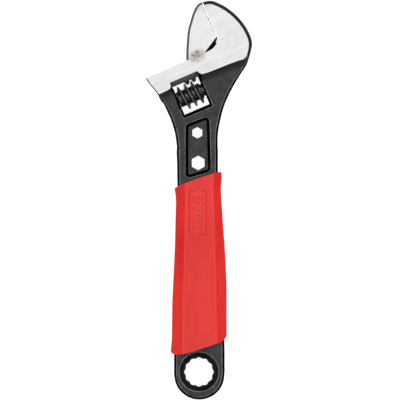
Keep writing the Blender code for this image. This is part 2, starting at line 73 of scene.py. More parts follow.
MM = 0.001
SLIDE_ANGLE = math.radians(23.0)
BOX_MIDDLE = Vector((0.8, 86.24))

# Sizes that several pieces share. RAIL_W and WORM_W are the places of the rail and the worm across the slide.
HEAD_HALF = 6.4
SHANK_HALF = 4.2
RAIL_W = 139.1
WORM_W = 129.3
PITCH = 3.6
WORM_BORE = 2.0
TIP_DROP = 1.3
TAPER_START = 156.0
TAPER_LENGTH = 22.0

# How far a cutter reaches through the tool, how finely curves are cut up, and how an edge is shaded.
THROUGH = 9.0
CURVE_PIECES = 9
SHARP_ANGLE = 35.0

TO_ROW = Matrix.Scale(MM, 4) @ Matrix.Translation((-BOX_MIDDLE.x, -BOX_MIDDLE.y, HEAD_HALF))
SLIDE = TO_ROW @ Matrix.Rotation(SLIDE_ANGLE, 4, "Z")

Point = tuple[float, float]
Colour = tuple[float, float, float]
Mesh = bpy.types.Mesh
Material = bpy.types.Material
Socket = bpy.types.NodeSocket
Modifier = tuple[str, dict[str, object]]


class Knot(Enum):
    """How an outline passes through one of its points."""

    CORNER = "VECTOR"
    SMOOTH = "AUTO"


class Fit(Enum):
    """How one solid works on another."""

    JOIN = "UNION"
    CUT = "DIFFERENCE"
    TRIM = "INTERSECT"


class Zone(Enum):
    """The kinds of surface on a piece, each with a finish of its own; a few finishes are painted shade and
    painted highlight.
    """

    SKIN = 0
    GROUND = 1
    MACHINED = 2
    # RAIL is the rail and its teeth; the steep strips of rounded rims take it too, a painted highlight on the
    # head and painted shade on the jaw.
    RAIL = 3
    KEPT = -1
    # A near-black copy of the oxide: painted shade in the channel, the neck slot and the jaw's neck.
    DEEP_SHADE = 4
    # RIM: a darker copy of the black paint, painted shade on steep walls and rims.
    RIM = 5
    # EDGE: a lighter copy of the black paint, a painted highlight where a rim leans slightly.
    EDGE = 6
    # DISH: a darker copy of the black paint, painted shade in the ring's dish.
    DISH = 7


Outline = list[tuple[float, float, Knot]]


@dataclass(frozen=True)
class Work:
    """One step on a blank: a solid, and how it works on the blank."""

    fit: Fit
    solid: Mesh
    zone: Zone = Zone.SKIN
    # The zone that a cut's steep walls take: painted shade.
    wall: Zone = Zone.RIM


@dataclass(frozen=True)
class Round:
    """One step on a blank: the rounding of every edge sharper than an angle, in millimetres and degrees."""

    width: float
    segments: int = 4
    angle: float = 50.0


def sharp(*points: Point) -> Outline:
    """Points where an outline turns a corner."""
    return [(x, y, Knot.CORNER) for x, y in points]


def smooth(*points: Point) -> Outline:
    """Points that an outline passes through smoothly."""
    return [(x, y, Knot.SMOOTH) for x, y in points]


def from_slide(u: float, w: float) -> Point:
    """The tool's x and y of a point in slide coordinates."""
    spot = Matrix.Rotation(SLIDE_ANGLE, 2) @ Vector((u, w))
    return (spot.x, spot.y)


def to_slide(x: float, y: float) -> Point:
    """The slide coordinates of a point on the tool."""
    spot = Matrix.Rotation(-SLIDE_ANGLE, 2) @ Vector((x, y))
    return (spot.x, spot.y)


def closed_mesh(name: str, work: bmesh.types.BMesh, place: Matrix) -> Mesh:
    """Turns an edit into a mesh in the row's frame.

    Args:
        name: The mesh's name.
        work: The edit, which is used up.
        place: Where the mesh goes.

    Returns:
        The mesh, with its faces turned outwards.
    """
    bmesh.ops.recalc_face_normals(work, faces=work.faces)
    mesh = bpy.data.meshes.new(name)
    work.to_mesh(mesh)
    work.free()
    mesh.transform(place)
    return mesh


def baked(name: str, data: bpy.types.ID, steps: Sequence[Modifier] = ()) -> Mesh:
    """The mesh that a curve or a mesh makes once its modifiers have run.

    Args:
        name: The mesh's name.
        data: The curve, text or mesh.
        steps: The modifiers, each a type and its settings.

    Returns:
        The finished mesh.
    """
    holder = bpy.data.objects.new(name, data)
    bpy.context.scene.collection.objects.link(holder)
    for kind, settings in steps:
        modifier = holder.modifiers.new(kind.lower(), kind)
        for key, value in settings.items():
            setattr(modifier, key, value)
    bpy.context.view_layer.update()
    graph = bpy.context.evaluated_depsgraph_get()
    mesh = bpy.data.meshes.new_from_object(holder.evaluated_get(graph))
    bpy.data.objects.remove(holder, do_unlink=True)
    mesh.name = name
    return mesh


def welded(mesh: Mesh, place: Matrix) -> Mesh:
    """Closes the seams of a mesh and moves it to its place.

    Args:
        mesh: The mesh.
        place: Where it goes.

    Returns:
        The closed mesh.
    """
    work = bmesh.new()
    work.from_mesh(mesh)
    bmesh.ops.remove_doubles(work, verts=work.verts, dist=0.01)
    return closed_mesh(mesh.name, work, place)


def flat_curve(name: str, outline: Outline, fill: str) -> bpy.types.Curve:
    """A closed flat curve through the points of an outline.

    Args:
        name: The curve's name.
        outline: The outline's points.
        fill: BOTH for a filled curve, NONE for a line.

    Returns:
        The curve.
    """
    curve = bpy.data.curves.new(name, "CURVE")
    curve.dimensions = "2D"
    curve.fill_mode = fill
    curve.resolution_u = CURVE_PIECES
    spline = curve.splines.new("BEZIER")
    spline.use_cyclic_u = True
    spline.bezier_points.add(len(outline) - 1)
    for point, (x, y, knot) in zip(spline.bezier_points, outline):
        point.co = (x, y, 0.0)
        point.handle_left_type = knot.value
        point.handle_right_type = knot.value
    return curve


def plate(
    name: str,
    outline: Outline,
    low: float = -THROUGH,
    high: float = THROUGH,
    place: Matrix = TO_ROW,
    bevel: float = 0.0,
    steps: int = 0,
    grow: float = 0.0,
) -> Mesh:
    """A flat plate with a smooth outline.

    Args:
        name: The mesh's name.
        outline: The outline's points.
        low: The height of the lower face.
        high: The height of the upper face.
        place: Where the plate goes.
        bevel: The rounding of both rims, which keeps the outline's size.
        steps: How many extra steps the rounding has.
        grow: How far the outline moves outwards.

    Returns:
        A closed mesh.
    """
    curve = flat_curve(name, outline, "BOTH")
    curve.extrude = (high - low) / 2.0 - bevel
    curve.bevel_depth = bevel
    curve.bevel_resolution = steps
    curve.offset = grow - bevel
    return welded(baked(name, curve), place @ Matrix.Translation((0.0, 0.0, (high + low) / 2.0)))


def sampled(outline: Outline) -> list[Point]:
    """The points along a smooth outline, listed anticlockwise.

    Args:
        outline: The outline's points.

    Returns:
        Points, without a repeat at the end.
    """
    mesh = baked("line", flat_curve("line", outline, "NONE"))
    line = [(vertex.co.x, vertex.co.y) for vertex in mesh.vertices]
    if (Vector(line[0]) - Vector(line[-1])).length < 0.001:
        line.pop()
    area = sum(a[0] * b[1] - b[0] * a[1] for a, b in zip(line, line[1:] + line[:1]))
    return line if area > 0.0 else line[::-1]


@dataclass(frozen=True)
class Cheek:
    """How both faces of a thick plate rise from its outline."""

    height: Callable[[float, float], float]
    rounding: Callable[[float, float], float]
    rows: Sequence[float]
    columns: Sequence[float]
    lift: Callable[[float], float]
    ground_from: float
    shoulder: Callable[[float, float], float]


def cushion(name: str, line: Sequence[Point], cheek: Cheek, steps: int = 8) -> Mesh:
    """A thick plate with rounded rims, whose faces follow a height.

    Args:
        name: The mesh's name.
        line: The outline in slide coordinates, anticlockwise.
        cheek: The height of the faces, the rounding of the rims and the lines that the faces are cut along.
        steps: How many strips the rounding has.

    Returns:
        A closed mesh, with its ground flats in their own zone.
    """
    work = bmesh.new()
    drop = work.verts.layers.float.new("drop")
    count = len(line)
    rows: list[list[bmesh.types.BMVert]] = [[] for _ in range(steps + 1)]
    for index, here in enumerate(line):
        before = (Vector(here) - Vector(line[index - 1])).normalized()
        after = (Vector(line[(index + 1) % count]) - Vector(here)).normalized()
        side = Vector((-before.y, before.x))
        inward = (side + Vector((-after.y, after.x))).normalized()
        radius = cheek.rounding(*here)
        for step, row in enumerate(rows):
            angle = math.radians(90.0) * step / steps
            reach = cheek.shoulder(*here) * radius * (1.0 - math.cos(angle))
            spot = Vector(here) + inward * (reach / max(0.4, inward.dot(side)))
            vertex = work.verts.new((spot.x, spot.y - cheek.lift(spot.x), 0.0))
            vertex[drop] = radius * (1.0 - math.sin(angle))
            row.append(vertex)
    for row_index, (lower, upper) in enumerate(zip(rows, rows[1:])):
        for index, spot in enumerate(lower):
            after_index = (index + 1) % count
            strip = work.faces.new((spot, lower[after_index], upper[after_index], upper[index]))
            # Each strip of the rounded rim takes a zone by how far it leans. Above the ground line, strips of
            # 45 degrees or more take the rail's zone and the rest the skin's: on the jaw both carry painted
            # shade, and on the head the rail's zone is a painted highlight. Lower down, zone_of gives a
            # painted highlight to slight leans and painted shade to steep ones.
            tilt = 90.0 * (steps - row_index - 0.5) / steps
            high = spot.co.y > cheek.ground_from
            zone = (Zone.SKIN if tilt < 45.0 else Zone.RAIL) if high else zone_of(tilt)
            strip.material_index = zone.value
    inner = len(Zone)
    work.faces.new(rows[-1]).material_index = inner
    cuts = [((0.0, row, 0.0), (0.0, 1.0, 0.0)) for row in cheek.rows]
    cuts += [((column, 0.0, 0.0), (1.0, 0.0, 0.0)) for column in cheek.columns]
    for place, normal in cuts:
        faces = [face for face in work.faces if face.material_index == inner]
        edges = {edge for face in faces for edge in face.edges}
        spots = {spot for face in faces for spot in face.verts}
        geometry = [*faces, *edges, *spots]
        bmesh.ops.bisect_plane(work, geom=geometry, dist=0.0001, plane_co=place, plane_no=normal)
    for face in work.faces:
        high = face.calc_center_median().y > cheek.ground_from
        if face.material_index == inner:
            face.material_index = Zone.GROUND.value if high else Zone.SKIN.value
    for spot in work.verts:
        w = spot.co.y + cheek.lift(spot.co.x)
        spot.co = (spot.co.x, w, cheek.height(spot.co.x, w) - spot[drop])
    twin = bmesh.ops.duplicate(work, geom=[*work.verts, *work.edges, *work.faces])
    copies = [item for item in twin["geom"] if isinstance(item, bmesh.types.BMVert)]
    for spot in copies:
        spot.co.z = -spot.co.z
    across = twin["vert_map"]
    for index, spot in enumerate(rows[0]):
        after_spot = rows[0][(index + 1) % count]
        work.faces.new((spot, after_spot, across[after_spot], across[spot]))
    return closed_mesh(name, work, SLIDE)


def rounded(
    points: Sequence[Point], radius: float | Sequence[float], steps: int = 5, pieces: int = 1
) -> list[Point]:
    """Turns each corner of a polygon into an arc.

    Args:
        points: The corners, listed anticlockwise.
        radius: The arcs' radius, or one for each corner.
        steps: How many pieces each arc has.
        pieces: How many pieces each straight side has.

    Returns:
        The points of the new outline, as many for every radius.
    """
    arcs: list[list[Vector]] = []
    count = len(points)
    radii = [radius] * count if isinstance(radius, float) else radius
    for index, reach in enumerate(radii):
        here = Vector(points[index])
        before = (Vector(points[index - 1]) - here).normalized()
        after = (Vector(points[(index + 1) % count]) - here).normalized()
        half = before.angle(after) / 2.0
        middle = here + (before + after).normalized() * (reach / math.sin(half))
        first = here + before * (reach / math.tan(half)) - middle
        sweep = math.pi - 2.0 * half
        arcs.append([middle + Matrix.Rotation(sweep * step / steps, 2) @ first for step in range(steps + 1)])
    outline: list[Vector] = []
    for index, arc in enumerate(arcs):
        next_start = arcs[(index + 1) % count][0]
        outline += arc + [arc[-1].lerp(next_start, piece / pieces) for piece in range(1, pieces)]
    return [(spot.x, spot.y) for spot in outline]


def spread(points: Sequence[Point], distance: float) -> list[Point]:
    """Moves every side of a polygon outwards.

    Args:
        points: The corners, listed anticlockwise.
        distance: How far the sides move. A negative distance moves them inwards.

    Returns:
        The corners of the new polygon.
    """
    moved: list[Point] = []
    count = len(points)
    for index in range(count):
        here = Vector(points[index])
        before = (here - Vector(points[index - 1])).normalized()
        after = (Vector(points[(index + 1) % count]) - here).normalized()
        out_before = Vector((before.y, -before.x))
        out_after = Vector((after.y, -after.x))
        middle = (out_before + out_after).normalized()
        spot = here + middle * (distance / middle.dot(out_before))
        moved.append((spot.x, spot.y))
    return moved


def skin(name: str, rings: Sequence[Sequence[Sequence[float]]], place: Matrix = TO_ROW) -> Mesh:
    """A closed skin over a row of rings.

    Args:
        name: The mesh's name.
        rings: The rings, each with the same number of points.
        place: Where the skin goes.

    Returns:
        A closed mesh.
    """
    work = bmesh.new()
    rows = [[work.verts.new(point) for point in ring] for ring in rings]
    for lower, upper in zip(rows, rows[1:]):
        for index, spot in enumerate(lower):
            after = (index + 1) % len(lower)
            work.faces.new((spot, lower[after], upper[after], upper[index]))
    work.faces.new(rows[0])
    work.faces.new(rows[-1])
    return closed_mesh(name, work, place)


def block(name: str, low: Sequence[float], high: Sequence[float], place: Matrix = SLIDE) -> Mesh:
    """A rectangular block between two opposite corners."""
    (a, b, c), (d, e, f) = low, high
    return skin(name, [[(a, b, z), (d, b, z), (d, e, z), (a, e, z)] for z in (c, f)], place)


def turned(
    name: str, profile: Sequence[Point], place: Matrix, sides: int = 64, phase: float = 0.0
) -> Mesh:
    """A solid of revolution about its local Z.

    Args:
        name: The mesh's name.
        profile: Pairs of radius and height, from one end to the other.
        place: Where the solid goes.
        sides: How many sides it has.
        phase: How far it is turned about its axis, in degrees.

    Returns:
        A closed mesh.
    """
    angles = [2.0 * math.pi * index / sides + math.radians(phase) for index in range(sides)]
    rings = [[(r * math.cos(a), r * math.sin(a), z) for a in angles] for r, z in profile]
    return skin(name, rings, place)


def along_slide(u: float, w: float) -> Matrix:
    """The place whose local Z runs along u, from a point on the slide's plane."""
    return SLIDE @ Matrix.Translation((u, w, 0.0)) @ Matrix.Rotation(math.radians(90.0), 4, "Y")


def upright(x: float, y: float) -> Matrix:
    """The place that stands on a point of the tool."""
    return TO_ROW @ Matrix.Translation((x, y, 0.0))


def zone_of(tilt: float, wall: Zone = Zone.RIM) -> Zone:
    """The zone of painted skin that leans by this many degrees: flat, a slight lean that takes a painted
    highlight, or a steep rim or wall that takes painted shade.

    Args:
        tilt: How far the skin leans, in degrees.
        wall: The zone of steep skin, which takes painted shade.

    Returns:
        The zone.
    """
    if tilt < 6.0:
        return Zone.SKIN
    return Zone.EDGE if tilt < 24.0 else wall


def worked(
    name: str, blank: Mesh, steps: Sequence[Work | Round], finishes: Sequence[Material]
) -> Mesh:
    """Works a blank through a row of joins, cuts, trims and roundings.

    Args:
        name: The finished mesh's name.
        blank: The mesh to begin with.
        steps: The steps, in order.
        finishes: The materials, in the order of the zones.

    Returns:
        The finished mesh, whose new faces have the zone of the step that made them.
    """
    for mesh in (blank, *(step.solid for step in steps if isinstance(step, Work))):
        for finish in finishes:
            mesh.materials.append(finish)
    helpers: list[bpy.types.Object] = []
    modifiers: list[Modifier] = []
    for step in steps:
        if isinstance(step, Round):
            settings: dict[str, object] = {
                "width": step.width * MM,
                "segments": step.segments,
                "limit_method": "ANGLE",
                "angle_limit": math.radians(step.angle),
            }
            modifiers.append(("BEVEL", settings))
            continue
        for polygon in step.solid.polygons:
            # Skin that a cut makes takes a painted highlight where it leans slightly and painted shade where
            # it is steep.
            if step.zone is Zone.SKIN and len(finishes) > Zone.EDGE.value:
                tilt = math.degrees(math.acos(min(1.0, abs(polygon.normal.z))))
                polygon.material_index = zone_of(tilt, step.wall).value
            elif step.zone is not Zone.KEPT:
                polygon.material_index = step.zone.value
        helper = bpy.data.objects.new(step.solid.name, step.solid)
        bpy.context.scene.collection.objects.link(helper)
        helpers.append(helper)
        modifiers.append(("BOOLEAN", {"operation": step.fit.value, "solver": "EXACT", "object": helper}))
    mesh = baked(name, blank, modifiers)
    for helper in helpers:
        bpy.data.objects.remove(helper, do_unlink=True)
    return mesh


def mirrored_pair(make: Callable[[float], Mesh]) -> list[Work]:
    """Cuts made on the front and on the back, from a function of the side, 1 or -1."""
    return [Work(Fit.CUT, make(side)) for side in (1.0, -1.0)]


def soft_step(value: float, low: float, high: float) -> float:
    """0 below low, 1 above high, and a smooth rise between."""
    share = min(1.0, max(0.0, (value - low) / (high - low)))
    return share * share * (3.0 - 2.0 * share)


def between(value: float, stations: Sequence[Point]) -> float:
    """The height at a value, from straight stretches between pairs of value and height.

    Args:
        value: Where the height is read.
        stations: Pairs of value and height, in order.

    Returns:
        The height.
    """
    for (a, first), (b, last) in zip(stations, stations[1:]):
        if value <= b:
            return first + (last - first) * max(0.0, (value - a) / (b - a))
    return stations[-1][1]


def tip_taper(w: float) -> float:
    """How much each half of the head thins out at a w, on the way to the jaws' tips."""
    return TIP_DROP * max(0.0, (w - TAPER_START) / TAPER_LENGTH)


def grey(value: float) -> Colour:
    """An even grey."""
    return (value, value, value)


class Bench:
    """Lays out the nodes of one material."""

    def __init__(self, name: str) -> None:
        """Starts a material with a Principled shader.

        Args:
            name: The material's name.
        """
        self.material = bpy.data.materials.new(name)
        self.material.use_nodes = True
        self.tree = self.material.node_tree
        self.shader = self.tree.nodes["Principled BSDF"]
        self.place = self.tree.nodes.new("ShaderNodeTexCoord").outputs["Object"]

    def node(self, kind: str, feeds: dict[str | int, object], **settings: object) -> bpy.types.Node:
        """Adds a node.

        Args:
            kind: The node's type, without its first word.
            feeds: What goes into its sockets: another socket or a plain value.
            settings: The node's own settings.

        Returns:
            The node.
        """
        node = self.tree.nodes.new("ShaderNode" + kind)
        for key, value in settings.items():
            setattr(node, key, value)
        for key, value in feeds.items():
            if isinstance(value, Socket):
                self.tree.links.new(value, node.inputs[key])
            else:
                node.inputs[key].default_value = value
        return node

    def fixed(self, **values: object) -> None:
        """Sets values that are the same all over the surface. An underscore stands for a space."""
        for key, value in values.items():
            self.shader.inputs[key.replace("_", " ")].default_value = value

    def feed(self, socket: str, source: Socket) -> None:
        """Joins a socket to one of the shader's inputs."""
        self.tree.links.new(source, self.shader.inputs[socket])

    def noise(
        self, scale: float, detail: float = 3.0, stretch: Sequence[float] = (1.0, 1.0, 1.0), lean: float = 0.0
    ) -> Socket:
        """Noise over the piece.

        Args:
            scale: The noise's scale, per metre.
            detail: How many finer layers it has.
            stretch: How much denser it is along each axis.
            lean: The angle that the axes are turned by about Z.

        Returns:
            A value socket from 0 to 1.
        """
        mapping = self.node("Mapping", {"Vector": self.place, "Rotation": (0.0, 0.0, -lean)})
        stretched = self.node("Mapping", {"Vector": mapping.outputs[0], "Scale": stretch})
        feeds = {"Vector": stretched.outputs[0], "Scale": scale, "Detail": detail, "Roughness": 0.6}
        return self.node("TexNoise", feeds).outputs["Fac"]

    def slide_place(self) -> Socket:
        """The place on the piece in slide coordinates, in millimetres.

        Returns:
            A vector socket.
        """
        shift = to_slide(BOX_MIDDLE.x, BOX_MIDDLE.y)
        feeds = {
            "Vector": self.place,
            "Scale": (1.0 / MM, 1.0 / MM, 1.0 / MM),
            "Rotation": (0.0, 0.0, -SLIDE_ANGLE),
            "Location": (shift[0], shift[1], -HEAD_HALF),
        }
        return self.node("Mapping", feeds).outputs[0]

    def ramp(self, source: Socket, low: float, high: float, first: float = 0.0, last: float = 1.0) -> Socket:
        """A smooth rise of a value between two limits.

        Args:
            source: The value.
            low: Where the rise starts.
            high: Where it ends.
            first: The result at the start.
            last: The result at the end.

        Returns:
            A value socket.
        """
        feeds = {"Value": source, "From Min": low, "From Max": high, "To Min": first, "To Max": last}
        return self.node("MapRange", feeds, interpolation_type="SMOOTHSTEP").outputs["Result"]

    def sum_of(self, kind: str, first: object, second: object) -> Socket:
        """The sum, product or other result of two values."""
        return self.node("Math", {0: first, 1: second}, operation=kind).outputs[0]

    def blend(self, share: object, first: object, second: object) -> Socket:
        """A colour between two others, by a share from 0 to 1.

        Args:
            share: The second colour's share.
            first: One colour.
            second: The other colour.

        Returns:
            A colour socket.
        """
        node = self.tree.nodes.new("ShaderNodeMix")
        node.data_type = "RGBA"
        for socket, value in ((node.inputs[0], share), (node.inputs[6], first), (node.inputs[7], second)):
            if isinstance(value, Socket):
                self.tree.links.new(value, socket)
            else:
                socket.default_value = (*value, 1.0) if isinstance(value, tuple) else value
        return node.outputs[2]

    def spot(self, middle: Point, size: Point, slide: Socket) -> Socket:
        """The distance from a spot on the slide's plane, in units of its own size.

        Args:
            middle: The spot's middle.
            size: Its half widths along u and w.
            slide: The place in slide coordinates.

        Returns:
            A value socket.
        """
        feeds = {
            "Vector": slide,
            "Scale": (1.0 / size[0], 1.0 / size[1], 0.0),
            "Location": (-middle[0] / size[0], -middle[1] / size[1], 0.0),
        }
        near = self.node("Mapping", feeds).outputs[0]
        return self.node("VectorMath", {0: near}, operation="LENGTH").outputs["Value"]

    def bumps(self, layers: Sequence[tuple[Socket, float, float]]) -> None:
        """Stacks bump layers on the shader.

        Args:
            layers: For each layer, its height from 0 to 1, its depth in millimetres and its strength.
        """
        normal: Socket | None = None
        for height, depth, strength in layers:
            feeds: dict[str | int, object] = {"Height": height, "Distance": depth * MM, "Strength": strength}
            if normal is not None:
                feeds["Normal"] = normal
            normal = self.node("Bump", feeds).outputs["Normal"]
        if normal is not None:
            self.feed("Normal", normal)


@dataclass(frozen=True)
class SatinBlack:
    """Satin black paint over a forged skin, which shows as a fine pebbled grain, with painted shade just
    below the ground flats' edge.
    """

    name: str = "satin_black_paint"
    dark: Colour = (0.004, 0.004, 0.0043)
    light: Colour = (0.024, 0.0245, 0.0265)
    grain_scale: float = 1100.0
    depth: float = 0.16
    gloss: float = 0.38

    def material(self) -> Material:
        """The paint's material.

        Returns:
            The material.
        """
        bench = Bench(self.name)
        grain = bench.noise(self.grain_scale, 3.0)
        cloud = bench.noise(260.0, 2.0)
        share = bench.ramp(bench.sum_of("ADD", grain, cloud), 0.75, 1.25)
        # Just below the ground flats' edge the colour darkens, painted shade for the face's climb, and the
        # paint grows rougher.
        across = bench.node("SeparateXYZ", {0: bench.slide_place()}).outputs[1]
        shade_and_rough_near_border = bench.ramp(across, 129.0, 135.5)
        share = bench.sum_of("MULTIPLY", share, bench.ramp(shade_and_rough_near_border, 0.0, 1.0, 1.0, 0.15))
        bench.feed("Base Color", bench.blend(share, self.dark, self.light))
        rough = bench.ramp(grain, 0.3, 0.7, 0.24, 0.40)
        bench.feed("Roughness", bench.sum_of("ADD", rough, bench.ramp(shade_and_rough_near_border, 0.0, 1.0, 0.0, 0.35)))
        bench.fixed(Specular_IOR_Level=self.gloss)
        bench.bumps([(grain, self.depth, 0.7), (cloud, 0.12, 0.35)])
        return bench.material


@dataclass(frozen=True)
class GroundSteel:
    """Bright ground steel, finely lined along the slide, greyed by painted shade towards the jaws' tips and
    stained by the jaw's foot.
    """

    name: str = "ground_steel"
    bright: Colour = (0.665, 0.662, 0.65)
    grey: Colour = (0.615, 0.612, 0.603)
    # Painted shade for the tips, where the faces taper down.
    tip: Colour = (0.40, 0.40, 0.395)
    stain: Colour = (0.22, 0.175, 0.14)
    speck: Colour = (0.13, 0.10, 0.08)

    def material(self) -> Material:
        """The steel's material.

        Returns:
            The material.
        """
        bench = Bench(self.name)
        slide = bench.slide_place()
        split = bench.node("SeparateXYZ", {0: slide}).outputs
        lines = bench.noise(900.0, 3.0, (0.06, 1.0, 1.0), SLIDE_ANGLE)
        patch = bench.noise(120.0, 3.0)
        tone = bench.ramp(bench.sum_of("ADD", lines, patch), 0.75, 1.2)
        colour = bench.blend(tone, self.grey, self.bright)
        # Painted shade: the colour greys towards the jaws' tips.
        colour = bench.blend(bench.ramp(split[1], 164.5, 171.0, 0.0, 0.85), colour, self.tip)
        mottle = bench.noise(900.0, 3.0)
        near = bench.ramp(bench.spot((61.6, 146.2), (6.0, 4.2), slide), 1.0, 0.25)
        wash = bench.sum_of("MULTIPLY", near, bench.ramp(mottle, 0.36, 0.62, 0.25, 1.0))
        colour = bench.blend(wash, colour, self.stain)
        fleck = bench.spot((62.45, 147.75), (0.75, 1.05), slide)
        edge = bench.sum_of("ADD", fleck, bench.ramp(bench.noise(1400.0, 1.0), 0.3, 0.7, -0.2, 0.2))
        colour = bench.blend(bench.ramp(edge, 1.0, 0.55, 0.0, 0.85), colour, self.speck)
        bench.feed("Base Color", colour)
        bench.feed("Roughness", bench.ramp(lines, 0.3, 0.7, 0.20, 0.28))
        bench.fixed(Metallic=1.0)
        bench.bumps([(lines, 0.004, 0.12)])
        return bench.material


@dataclass(frozen=True)
class MilledSteel:
    """Milled steel in the mouth, with cutter marks from face to face."""

    name: str = "milled_steel"
    bright: Colour = (0.62, 0.615, 0.60)
    dull: Colour = (0.42, 0.415, 0.405)

    def material(self) -> Material:
        """The steel's material.

        Returns:
            The material.
        """
        bench = Bench(self.name)
        marks = bench.noise(1300.0, 2.0, (1.0, 1.0, 0.08), SLIDE_ANGLE)
        bench.feed("Base Color", bench.blend(bench.ramp(marks, 0.3, 0.7), self.dull, self.bright))
        bench.feed("Roughness", bench.ramp(marks, 0.3, 0.7, 0.30, 0.46))
        bench.fixed(Metallic=1.0)
        bench.bumps([(marks, 0.02, 0.4)])
        return bench.material


@dataclass(frozen=True)
class DarkOxide:
    """Black oxide on machined steel, a little patchy."""

    name: str
    dark: Colour = (0.008, 0.008, 0.0085)
    light: Colour = (0.028, 0.028, 0.030)
    patch_scale: float = 800.0
    low_gloss: float = 0.42
    high_gloss: float = 0.28
    shine: float = 0.6

    def material(self) -> Material:
        """The oxide's material.

        Returns:
            The material.
        """
        bench = Bench(self.name)
        patches = bench.noise(self.patch_scale, 4.0)
        bench.feed("Base Color", bench.blend(bench.ramp(patches, 0.38, 0.62), self.dark, self.light))
        bench.feed("Roughness", bench.ramp(patches, 0.3, 0.7, self.low_gloss, self.high_gloss))
        bench.fixed(Specular_IOR_Level=self.shine)
        bench.bumps([(bench.noise(2200.0, 2.0), 0.015, 0.4)])
        return bench.material


@dataclass(frozen=True)
class SpringSteel:
    """Drawn spring wire."""

    name: str = "spring_steel"
    dark: Colour = (0.20, 0.20, 0.205)
    light: Colour = (0.34, 0.34, 0.35)

    def material(self) -> Material:
        """The wire's material.

        Returns:
            The material.
        """
        bench = Bench(self.name)
        draw = bench.noise(1500.0, 2.0, (0.3, 1.0, 1.0), SLIDE_ANGLE)
        bench.feed("Base Color", bench.blend(draw, self.dark, self.light))
        bench.feed("Roughness", bench.ramp(draw, 0.3, 0.7, 0.28, 0.4))
        bench.fixed(Metallic=1.0)
        bench.bumps([(draw, 0.008, 0.3)])
        return bench.material


@dataclass(frozen=True)
class MouldedRed:
    """Red moulded plastic with a fine spark-eroded grain."""

    name: str = "moulded_red"
    deep: Colour = (0.74, 0.012, 0.009)
    light: Colour = (0.84, 0.024, 0.018)

    def material(self) -> Material:
        """The plastic's material.

        Returns:
            The material.
        """
        bench = Bench(self.name)
        grain = bench.noise(2600.0, 2.0)
        flow = bench.noise(55.0, 3.0, (1.0, 0.35, 1.0))
        bench.feed("Base Color", bench.blend(bench.ramp(flow, 0.3, 0.7), self.deep, self.light))
        bench.feed("Roughness", bench.ramp(grain, 0.3, 0.7, 0.34, 0.46))
        bench.fixed(Specular_IOR_Level=0.38)
        bench.bumps([(grain, 0.014, 0.35), (flow, 0.25, 0.12)])
        return bench.material


class PaintShop:
    """Makes each finish once and hands it out."""

    def __init__(self) -> None:
        """Makes every material."""
        # rim and dish are darker copies of the black paint, painted shade; edge is a lighter copy, a painted
        # highlight.
        rim = SatinBlack("rim_painted_shade", grey(0.001), (0.004, 0.004, 0.0042), gloss=0.0)
        dish = SatinBlack("dish_painted_shade", (0.002, 0.002, 0.0021), (0.014, 0.014, 0.0148), gloss=0.3)
        edge = SatinBlack("edge_painted_highlight", (0.095, 0.095, 0.098), (0.185, 0.185, 0.19))
        # rail: a lighter copy of the oxide; on the frame it goes only to the head's steep rims above the
        # ground line, a painted highlight.
        rail = DarkOxide("head_wall_painted_highlight", (0.006, 0.006, 0.0065), (0.045, 0.045, 0.047), 1300.0, 0.55, 0.4, 0.3)
        # A near-black copy of the oxide: painted shade for the channel, the neck slot and the jaw's neck.
        deep_shade = DarkOxide("channel_painted_shade", grey(0.002), grey(0.005), 900.0, 0.8, 0.65, 0.05)
        worm = DarkOxide("worm_oxide", (0.006, 0.006, 0.0065), (0.02, 0.02, 0.021), 900.0, 0.36, 0.26)
        self.black = SatinBlack().material()
        self.rim = rim.material()
        self.dish = dish.material()
        self.edge = edge.material()
        # The jaw's rounded rims take dark copies of the oxide, painted shade: a lighter one where the rim
        # leans under 45 degrees and a darker one where it is steeper. The darker one is also the rail's and
        # the teeth's own oxide.
        self.jaw_wall_shade_and_rail = DarkOxide("jaw_wall_shade_and_rail_oxide", grey(0.02), grey(0.05), 900.0, 0.5, 0.4).material()
        self.jaw_edge_shade = DarkOxide("jaw_edge_painted_shade", grey(0.05), grey(0.10), 900.0, 0.5, 0.36).material()
        # The worm's crests take a lighter copy of the oxide: a painted highlight.
        self.worm_crest_highlight = DarkOxide("worm_crest_painted_highlight", grey(0.05), grey(0.12), 900.0, 0.4, 0.3).material()
        self.ground = GroundSteel().material()
        self.milled = MilledSteel().material()
        self.rail = rail.material()
        self.deep_shade = deep_shade.material()
        self.worm = worm.material()
        self.pin = DarkOxide("pin_oxide").material()
        self.wire = SpringSteel().material()
        self.red = MouldedRed().material()
        # The raised letters take a lighter red: a painted highlight on the marking.
        self.letter_highlight_red = MouldedRed("letter_highlight_red", (0.83, 0.032, 0.026), (0.89, 0.060, 0.050)).material()


@dataclass(frozen=True)
class Mount:
    """Where a finished piece belongs: the body that it rides on, and the node that it stands for."""

    body: str
    node: str


def fit_piece(name: str, mesh: Mesh, mount: Mount, stands_for: bool = True) -> bpy.types.Object:
    """Puts a finished mesh on its body.

    Args:
        name: The piece's name.
        mesh: Its mesh, in the row's frame.
        mount: Its body and its node.
        stands_for: Whether it replaces the node.

    Returns:
        The piece.
    """
    mesh.name = name
    mesh.shade_smooth()
    mesh.set_sharp_from_angle(angle=math.radians(SHARP_ANGLE))
    piece = bpy.data.objects.new(name, mesh)
    bpy.context.scene.collection.objects.link(piece)
    weights = piece.modifiers.new("even_shading", "WEIGHTED_NORMAL")
    weights.keep_sharp = True
    weights.weight = 60
    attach(piece, mount.body)
    if stands_for:
        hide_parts(mount.node)
    LOG.info("%s: %d faces on %s", name, len(mesh.polygons), mount.body)
    return piece


